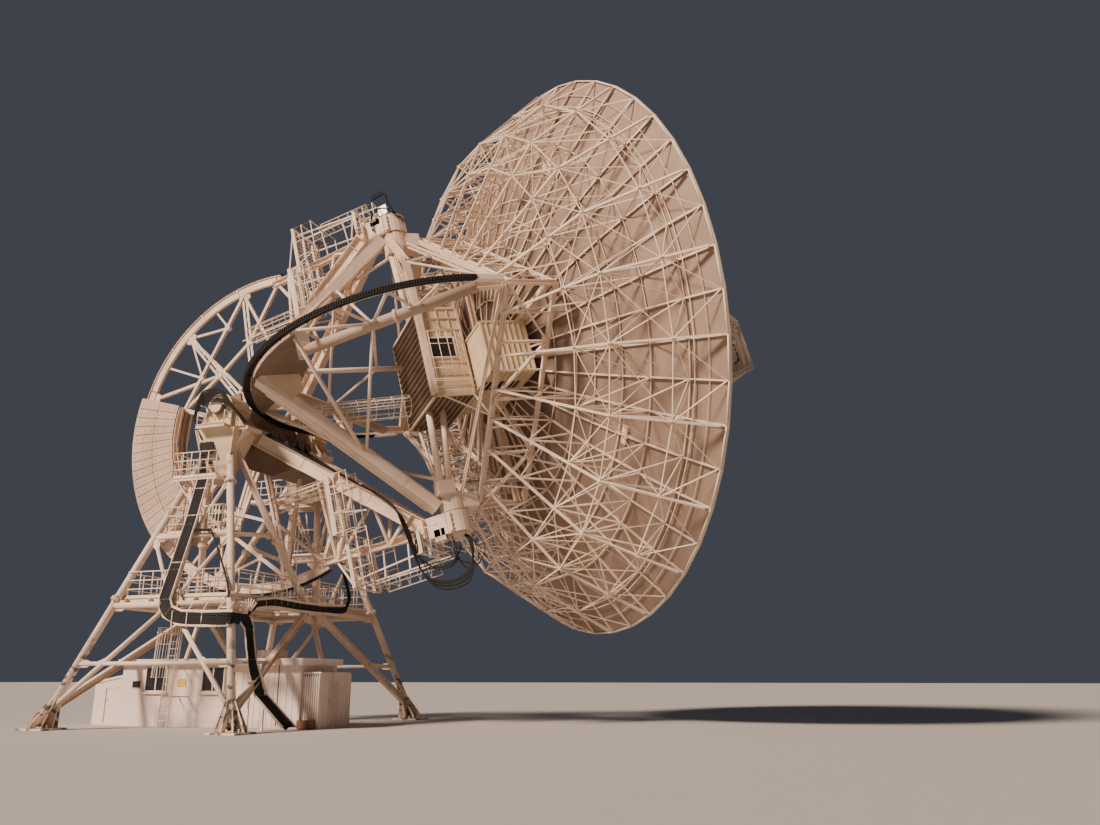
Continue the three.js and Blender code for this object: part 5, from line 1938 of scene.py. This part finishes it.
    def pedestal(self, name: str, sy: int) -> None:
        """Dresses one bearing housing and the sheet skirt below it.

        Args:
            name: near or far.
            sy: the side along Y.
        """
        steel = Steelwork(f"pedestal_plates_{name}", GROUND, YELLOWED)
        y0, y1, z = sy * 2.44, sy * 3.66, AXIS_HEIGHT
        for y, x in product((y0, y1), (-0.64, 0.64)):
            steel.bar(*span(x, y, (12.44, z)), 0.07, 0.05, Y)
        for y in (y0 - sy * 0.01, y1 + sy * 0.01):
            steel.bolts((0, y, z), Y, 0.54, 16, 0.06, 0.06)
            steel.tube(*span(0, (y - sy * 0.02, y + sy * 0.02), z), 0.46, 32)
        for x in (-0.7, 0.7):
            steel.bar(*span(x, (sy * 2.5, sy * 3.6), z), 0.16, 0.14)
            for i in range(5):
                p = Vector((x, sy * (2.65 + 0.2 * i), z))
                steel.tube(p - Z * 0.12, p + Z * 0.12, 0.03, 6)
            for y in (2.6, 3.05, 3.5):
                steel.plate([(x * 0.9, sy * y, 12.44), (x * 1.75, sy * y, 12.44),
                             (x * 0.9, sy * y, 13.2)], 0.025)
        low, high = (1.15 / 2, 0.42 / 2, 10.3), (1, 0.75, 12.32)
        for ex, ey in product(SIDES, SIDES):
            a = (ex * low[0], sy * 3.3 + ey * low[1], low[2])
            b = (ex * high[0], sy * 3.1 + ey * high[1], high[2])
            steel.bar(a, b, 0.06, 0.06, Y)
        steel.bar(*span((-0.6, 0.6), sy * 3.52, 10.3), 0.07, 0.07, Y)
        steel.build(slot="housing_yellowed")

    def build(self) -> None:
        """Builds all platforms."""
        self.ring()
        for name, s in (("near", -1), ("far", 1)):
            self.bearing(name, s)


@dataclass
class CableRuns:
    """The cable tray down the near end of the tower and the cables that are clipped to both frames."""

    count: int = 9
    spacing: float = 0.052
    radius: float = 0.031

    @staticmethod
    def near_face(x: float, z: float, out: float = 0.35) -> Vector:
        """A point just outside the near end."""
        return Vector((x, on_leg(1, -1, z).y - out, z))

    @staticmethod
    def right_face(y: float, z: float, out: float = 0.3) -> Vector:
        """A point just outside the right face."""
        return Vector((on_leg(1, 1, z).x + out, y, z))

    def bundle(self, steel: Steelwork, route: Route, across: Route, count: int, seed: int) -> None:
        """Adds parallel cables along a route.

        Args:
            steel: the mesh that gets them.
            route: the points of the middle line.
            across: the direction in which they spread, at each point.
            count: how many cables.
            seed: of their small offsets.
        """
        rng = random.Random(seed)
        steel.use(CABLE)
        width = (count - 1) * self.spacing
        for (p, q), e in zip(zip(route, route[1:]), across):
            steel.bar(p, q, width, 0.03, (q - p).cross(Vector(e)), 0.01)
        for i in range(count):
            shift = (i - (count - 1) / 2) * self.spacing
            line = []
            for p, e in zip(route, across):
                e = Vector(e).normalized()
                line.append(p + e * (shift + rng.uniform(-0.008, 0.008)) + Z * rng.uniform(-0.012, 0.012))
            steel.cable(line, self.radius * rng.uniform(0.75, 1.1))

    def rails(self, steel: Steelwork, route: Route, across: Route, half: float, pitch: float) -> None:
        """Adds a tray's side rails and its rungs.

        Args:
            steel: the mesh that gets them.
            route: the points of the middle line.
            across: the direction of the rungs, at each point.
            half: half the tray's width.
            pitch: between the rungs.
        """
        steel.use(PALE)
        sides = [[p + Vector(e).normalized() * half * s for p, e in zip(route, across)] for s in SIDES]
        for line in sides:
            for a, b in zip(line, line[1:]):
                steel.bar(a, b, 0.03, 0.09, Z, 0.01)
        for (a, b), (c, d) in zip(zip(sides[0], sides[0][1:]), zip(sides[1], sides[1][1:])):
            steps = max(1, round((b - a).length / pitch))
            for i in range(steps):
                steel.bar(lerp(a, b, i / steps), lerp(c, d, i / steps), 0.035, 0.02)

    def tray(self) -> None:
        """Builds the tray on the tower from the bearing to the ground in front of the hut."""
        steel = Steelwork("tower_cable_tray", GROUND, PALE)
        down = [self.near_face(x, z) for x, z in
                ((-0.83, 12.43), (-0.49, 11.2), (-0.06, 10.01), (0.01, 8.01), (-0.03, 6.11), (-0.05, 4.91),
                 (0.28, 4.43), (0.95, 4.18), (2.15, 4.12), (3.32, 4.12))]
        turn = [self.right_face(-5.15, 4.1), self.right_face(-5.05, 3.73), self.right_face(-5.25, 2.6)]
        end = [Vector((3.95, -4.6, 1.3)), Vector((4.75, -4.15, 0.34)), Vector((4.94, -4.06, 0.13))]
        route = down + turn + end
        across = [X] * 6 + [(0.7, 0, 0.7), (0.2, 0, 1), Z, (0.3, -0.1, 1)]
        across += [(0.3, 0.9, 0.3), Y, Y, (0.4, 1, 0), (0.5, 1, 0), (0.5, 1, 0)]
        self.bundle(steel, route[2:], across[2:], self.count, 3)
        self.bundle(steel, route[:4], across[:4], 4, 5)
        self.bundle(steel, [p + Vector((0.2, -0.05, 0)) for p in route[:2]], across[:2], 14, 6)
        self.rails(steel, route[2:10], across[2:10], 0.27, 1.6)
        self.rails(steel, route[10:], across[10:], 0.27, 1.2)
        for x in (0.6, 1.3, 2, 2.7, 3.2):
            p = self.near_face(x, 4.12)
            steel.bar(p + Z * 0.26, p + Vector((0, 0.3, 0.62)), 0.03, 0.05, Y)
            steel.bar(p - Z * 0.3, p + Z * 0.3, 0.03, 0.05, Y)
        for z in (6.4, 8.4, 9.6):
            p = self.near_face(0, z)
            steel.bar(p - X * 0.3, p + X * 0.3, 0.05, 0.05)
            steel.bar(p, p + Vector((0, 0.9, 0.1)), 0.05, 0.05)
        for p in (Vector((4, -4.45, 0)), Vector((3.6, -4.85, 0))):
            steel.bar(p, p + Z * 1.6, 0.07, 0.07, X)
        fan = self.right_face(-5, 4.35, 0.42)
        for i in range(9):
            a = radians(-10 + 18 * i)
            steel.bar(fan + Vector((0, -cos(a) * 0.1, sin(a) * 0.1)),
                      fan + Vector((0, -cos(a) * 0.58, sin(a) * 0.58)), 0.05, 0.03, X)
        face = ((-5, 4.3), (-4.2, 4.75), (-2.98, 4.9), (-1.22, 4.86), (0.8, 4.86), (2.42, 4.96),
                (3.05, 5.5), (3.14, 6.17), (3.05, 7.36))
        second = [self.right_face(y, z) for y, z in face]
        self.bundle(steel, second, [Z] * 6 + [Y] * 3, 5, 11)
        self.rails(steel, second[1:6], [Z] * 5, 0.19, 0.5)
        small = [self.near_face(x, z, 0.28) for x, z in ((-0.3, 7.75), (0.9, 7.72), (1.3, 7.5),
                                                         (2.6, 5.6), (2.9, 4.95))]
        self.bundle(steel, small, [Z] * 5, 2, 13)
        self.loops(steel)
        steel.build()

    def loops(self, steel: Steelwork) -> None:
        """Adds the loops that come over the near bearing into the tray.

        Args:
            steel: the mesh that gets it.
        """
        steel.use(CABLE)
        rng = random.Random(17)
        for i in range(9):
            d = 0.06 * i
            j = rng.uniform(-0.05, 0.05)
            steel.cable([(1.3 + d * 0.3, -3.6, 12.55 + j), (0.98 + d * 0.2, -3.95, 13.05 + j),
                         (0.5, -4.06 - d * 0.3, 13.38 + d), (-0.1, -4.08 - d * 0.3, 13.5 + d),
                         (-0.62, -4.06 - d * 0.3, 13.36 + d), (-0.92 - d * 0.3, -3.98, 13 + j),
                         (-0.96 - d * 0.05, -3.86, 12.5), (-0.7 + d * 0.1, -3.8, 11.9)], 0.028)
        steel.use(GALVANISED)
        for x in (-0.62, 0.5):
            steel.bar(*span(x, (-4.12, -3.6), 13.32), 0.05, 0.05)
            steel.bar(*span(x, -3.62, (12.45, 13.32)), 0.05, 0.05, Y)

    def on_frame(self) -> None:
        """Adds the cables along the yoke beam and the hoses round both upper bearings."""
        steel = Steelwork("frame_cables", X_FRAME, CABLE)
        a, b = YokeBeams.line(1, -1)
        along = (b - a).normalized()
        top = along.cross(Y).normalized()
        top = top if top.x < 0 else -top
        rng = random.Random(23)
        for i in range(9):
            off = Y * ((i - 4) * 0.045) + top * (0.34 + rng.uniform(0, 0.03))
            line = [lerp(a, b, t) + off for t in (0.12, 0.26, 0.4, 0.52, 0.62, 0.7)]
            j = 0.05 * i + rng.uniform(-0.1, 0.1)
            line += [(5.9 + j * 0.6, -1.02 - j, 5.75 + j), (6.75 + j, -1.15 - j * 0.5, 6.35),
                     (7.9, -1.05 - j * 0.4, 6.55 - j * 0.3), (8.7 + j * 0.4, -1, 6.55),
                     (9.35 + j, -0.85, 6.75 + j * 0.4), (9.72 + j, -0.6, 7.45),
                     (9.65 + j, -0.45, 8.25 + j * 0.3), (9.05 + j * 0.5, -0.35, 8.7),
                     (8.25, -0.25 + j * 0.3, 8.6 + j * 0.4), (7.95, -0.1, 8.4)]
            steel.cable(line, 0.029 * rng.uniform(0.8, 1.15))
        outer = ((-8.94, -0.7, 7.73), (-9.06, -0.6, 8.34), (-8.38, -0.5, 8.47), (-7.8, -0.35, 8.7),
                 (-7.5, -0.1, 8.9))
        inner = ((-7.2, -0.7, 7.5), (-7.9, -0.8, 7.6), (-8.3, -0.7, 8), (-8, -0.6, 8.5), (-7.6, -0.3, 8.7))
        lower = ((7.4, -0.9, 6.75), (8.4, -0.8, 6.6), (9, -0.6, 6.9), (9.2, -0.5, 7.6), (8.9, -0.4, 8.1),
                 (8.4, -0.3, 8.25))
        upper = ((8, -0.4, 7.9), (8.9, -0.3, 8), (9.3, -0.2, 8.6), (8.9, -0.2, 9.1), (8.2, -0.1, 8.9))
        loops = ((4, 0.09, outer), (3, 0.1, inner), (5, 0.16, lower), (4, 0.2, upper))
        for count, spread, route in loops:
            for _ in range(count):
                steel.cable([[c + rng.uniform(-spread, spread) for c in p] for p in route], 0.018)
        steel.use(GALVANISED)
        steel.block((-8.62, -0.35, 7.78), (-8.14, 0.15, 8.22))
        steel.tube(*span((-8.12, -8.45), 0, AXIS_OFFSET), 0.16, 20)
        steel.build(slot="gear_dark")

    def build(self) -> None:
        """Builds the tray and the cables."""
        self.tray()
        self.on_frame()


@dataclass
class EquipmentHut:
    """The fittings of the hut under the tower: frames, doors, seams, a vent and the roof ladder."""

    front: float = -3.1
    store_front: float = -2.95

    def windows(self, steel: Steelwork) -> None:
        """Adds panes, frames, mullions and sills.

        Args:
            steel: the mesh that gets it.
        """
        for x0 in (-2.9, -0.02):
            x1, z0, z1, y = x0 + 1.08, 1.4, 2.36, self.front - 0.02
            steel.use(HUT_PAINT)
            steel.block((x0, y + 0.005, 1.12), (x1 - 0.1, self.front + 0.01, 1.4))
            steel.use(GLASS)
            steel.block((x0, y, z0), (x1, self.front + 0.02, z1))
            steel.use(PALE)
            for x in (x0, (x0 + x1) / 2, x1):
                steel.bar(*span(x, y, (z0, z1)), 0.05, 0.06, Y)
            for z in (z0, z1):
                steel.bar(*span((x0, x1), y, z), 0.06, 0.05, Z, 0.03)
            steel.bar(*span((x0 - 0.1, x1 + 0.1), y - 0.04, z0 - 0.07), 0.14, 0.07)
        steel.use(GLASS)
        steel.block((-4.1, -2.1, 1.15), (-4.09, -1.3, 2.05))

    def doors(self, steel: Steelwork) -> None:
        """Adds door leaves with frames and handles.

        Args:
            steel: the mesh that gets it.
        """
        steel.use(HUT_PAINT)
        steel.block((-1.71, self.front - 0.006, 0.12), (-0.84, self.front + 0.03, 2.17))
        leaves = (((-5.45, -2.58, 0.08), (-4.55, -2.54, 1.55), Y),
                  ((2.4, -0.46, 0.08), (3.3, -0.42, 2.05), Y), ((5.34, -2.2, 0.08), (5.38, -1.4, 1.85), X))
        for low, high, face in leaves:
            steel.use(HUT_PAINT)
            steel.block(low, high)
            steel.use(PALE)
            wide = 0 if face[1] else 1
            for a in (low[wide], high[wide]):
                p, q = list(low), list(low)
                p[wide] = q[wide] = a
                q[2] = high[2]
                steel.bar(p, q, 0.05, 0.1, Y)
            p, q = list(low), list(high)
            p[2] = high[2]
            steel.bar(p, q, 0.06, 0.1, Z, 0.03)
            steel.use(GALVANISED)
            knob = lerp(low, high, 0.5)
            knob[wide] = low[wide] + 0.1
            knob[2] = low[2] + 0.95
            steel.tube(knob - face * 0.09, knob + face * 0.09, 0.022, 10)

    def shell(self, steel: Steelwork) -> None:
        """Adds the fascia, seams, the corrugated part, vents and small plates.

        Args:
            steel: the mesh that gets it.
        """
        steel.use(HUT_PAINT)
        steel.bar(*span((-4.27, 4.8), self.front - 0.2, 2.56), 0.03, 0.26)
        steel.bar(*span(-4.29, (self.front - 0.18, -0.3), 2.56), 0.03, 0.26)
        steel.bar(*span(4.82, (self.front - 0.18, -0.3), 2.56), 0.03, 0.26)
        for i in range(12):
            x = 1.25 + 0.3 * i
            steel.bar(*span(x, self.store_front - 0.008, (0.1, 2.45)), 0.02, 0.016, Y)
        for i in range(8):
            x = 4.65 + 0.1 * i
            steel.bar(*span(x, -2.82, (0.08, 2.1)), 0.05, 0.04, Y)
        for i in range(15):
            y = -2.7 + 0.15 * i
            steel.bar(*span(5.42, y, (0.08, 2.1)), 0.05, 0.04, X)
        steel.bar(*span((4.62, 5.45), -2.84, 2.13), 0.08, 0.06)
        steel.use(GLASS)
        steel.block((4.66, -2.835, 1.98), (5.36, -2.825, 2.09))
        steel.block((-3.58, self.front - 0.02, 1.53), (-3.18, self.front - 0.005, 1.81))
        steel.use(PALE)
        for z in (1.52, 1.82):
            steel.bar(*span((-3.6, -3.16), self.front - 0.02, z), 0.03, 0.03, Y)
        steel.use(SIGN)
        steel.block((-1.25, self.front - 0.025, 1.59), (-0.84, self.front - 0.01, 1.9))
        steel.use(BROWN)
        steel.block((4.55, -3.02, 0.02), (5.3, -2.86, 0.34))
        steel.bar(*span(3.55, self.store_front - 0.012, (0.1, 2.45)), 0.035, 0.02, Y)
        steel.use(HUT_PAINT)
        steel.block((2.3, -2.75, 2.66), (3.25, -2, 3.02))
        for x in (2.4, 2.65, 2.9, 3.15):
            steel.bar(*span(x, -2.77, (2.68, 3)), 0.03, 0.03, Y)
        steel.bar((-6.08, -2.62, 1.74), (-4.12, -2.62, 2.09), 0.03, 0.1)

    def build(self) -> None:
        """Builds the fittings in one piece."""
        steel = Steelwork("hut_fittings", GROUND, HUT_PAINT)
        self.windows(steel)
        self.doors(steel)
        self.shell(steel)
        steel.use(PALE)
        foot = Vector((-0.95, -4.15, 0))
        steel.ladder(foot, foot + Vector((0.12, 0.15, 3.9)), X, 0.46, 0.28, (-0.5, -0.8, 0), 2.05)
        for z, s in product((1.2, 2.5, 3.7), (-0.2, 0.3)):
            steel.bar(foot + Vector((s, 0.08, z)), (foot.x + s, self.front if z < 3 else -4.7, z),
                      0.03, 0.05)
        steel.build(slot="hut_white")


# Scene.
@dataclass
class Studio:
    """The camera at the photograph's viewing angle, a pale floor and soft light."""

    lens: float = 31.3
    place: tuple[float, float, float] = (27.145, -36.595, 1.917)
    yaw: float = -19.764
    pitch: float = 15.532
    sun_strength: float = 6.2
    sun_colour: Colour = (1, 0.79, 0.64)
    sun_angle: float = 10
    sun_way: Colour = (0.44, 0.72, -0.6)
    sky: Colour = (0.27, 0.29, 0.37)
    sky_strength: float = 0.21

    def camera(self) -> None:
        """Places the camera."""
        data = bpy.data.cameras.new("camera")
        data.lens = self.lens
        data.clip_end = 500
        camera = add_object("camera", data)
        yaw, pitch = radians(self.yaw), radians(self.pitch)
        look = Vector((sin(yaw) * cos(pitch), cos(yaw) * cos(pitch), sin(pitch)))
        camera.location = self.place
        camera.rotation_euler = look.to_track_quat("-Z", "Y").to_euler()
        bpy.context.scene.camera = camera

    def light(self) -> None:
        """Adds a low warm sun with soft edges, and a plain sky."""
        data = bpy.data.lights.new("sun", "SUN")
        data.energy = self.sun_strength
        data.color = self.sun_colour
        data.angle = radians(self.sun_angle)
        sun = add_object("sun", data)
        sun.rotation_euler = Vector(self.sun_way).to_track_quat("-Z", "Y").to_euler()
        world = bpy.data.worlds.new("sky")
        world.use_nodes = True
        background = world.node_tree.nodes["Background"]
        background.inputs["Color"].default_value = (*self.sky, 1)
        background.inputs["Strength"].default_value = self.sky_strength
        bpy.context.scene.world = world

    def floor(self) -> None:
        """Adds the floor."""
        size = 400
        mesh = bpy.data.meshes.new("floor")
        corners = [(-size, -size, -0.004), (size, -size, -0.004), (size, size, -0.004),
                   (-size, size, -0.004)]
        mesh.from_pydata(corners, [], [(0, 1, 2, 3)])
        mesh.materials.append(Finish("floor", (0.5, 0.48, 0.46), (0.46, 0.44, 0.42), 0.9,
                                     grain=0).material())
        add_object("floor", mesh)

    def build(self) -> None:
        """Sets up the scene."""
        self.camera()
        self.light()
        self.floor()


def dress_nodes() -> None:
    """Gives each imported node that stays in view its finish."""
    finishes = {
        "panel_sector": PANEL, "y_wheel_rim": GEAR, "counterweight": WEIGHT_PAINT, "leg_": LEG_PAINT,
        # Painted shade: the lower axis shaft takes the dark shade colour of the space under the beams.
        "lower_axis_shaft": SHADED_SHEET, "feed_box": FEED_PAINT,
        **dict.fromkeys(("hut", "store_room", "side_shed", "cable_house"), HUT_PAINT),
        **dict.fromkeys(("bearing_pedestal", "receiver_cabin", "vertex_room"), YELLOWED),
    }
    for name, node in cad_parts.items():
        finish = next((f for key, f in finishes.items() if name.startswith(key)), CREAM)
        node.data.materials.clear()
        node.data.materials.append(finish.material())


def main() -> None:
    """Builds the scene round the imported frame."""
    logging.basicConfig(level=logging.INFO, format="%(name)s: %(message)s")
    Studio().build()
    dress_nodes()
    assemblies = (ReflectorBack, Hub, UpperGearWheel, ReceiverRooms, FeedSupport, LowerGearWheel, YokeBeams,
                  AccessWays, TowerLegs, TowerBracing, TowerPlatforms, CableRuns, EquipmentHut)
    for assembly in assemblies:
        assembly().build()


if __name__ == "__main__":
    main()
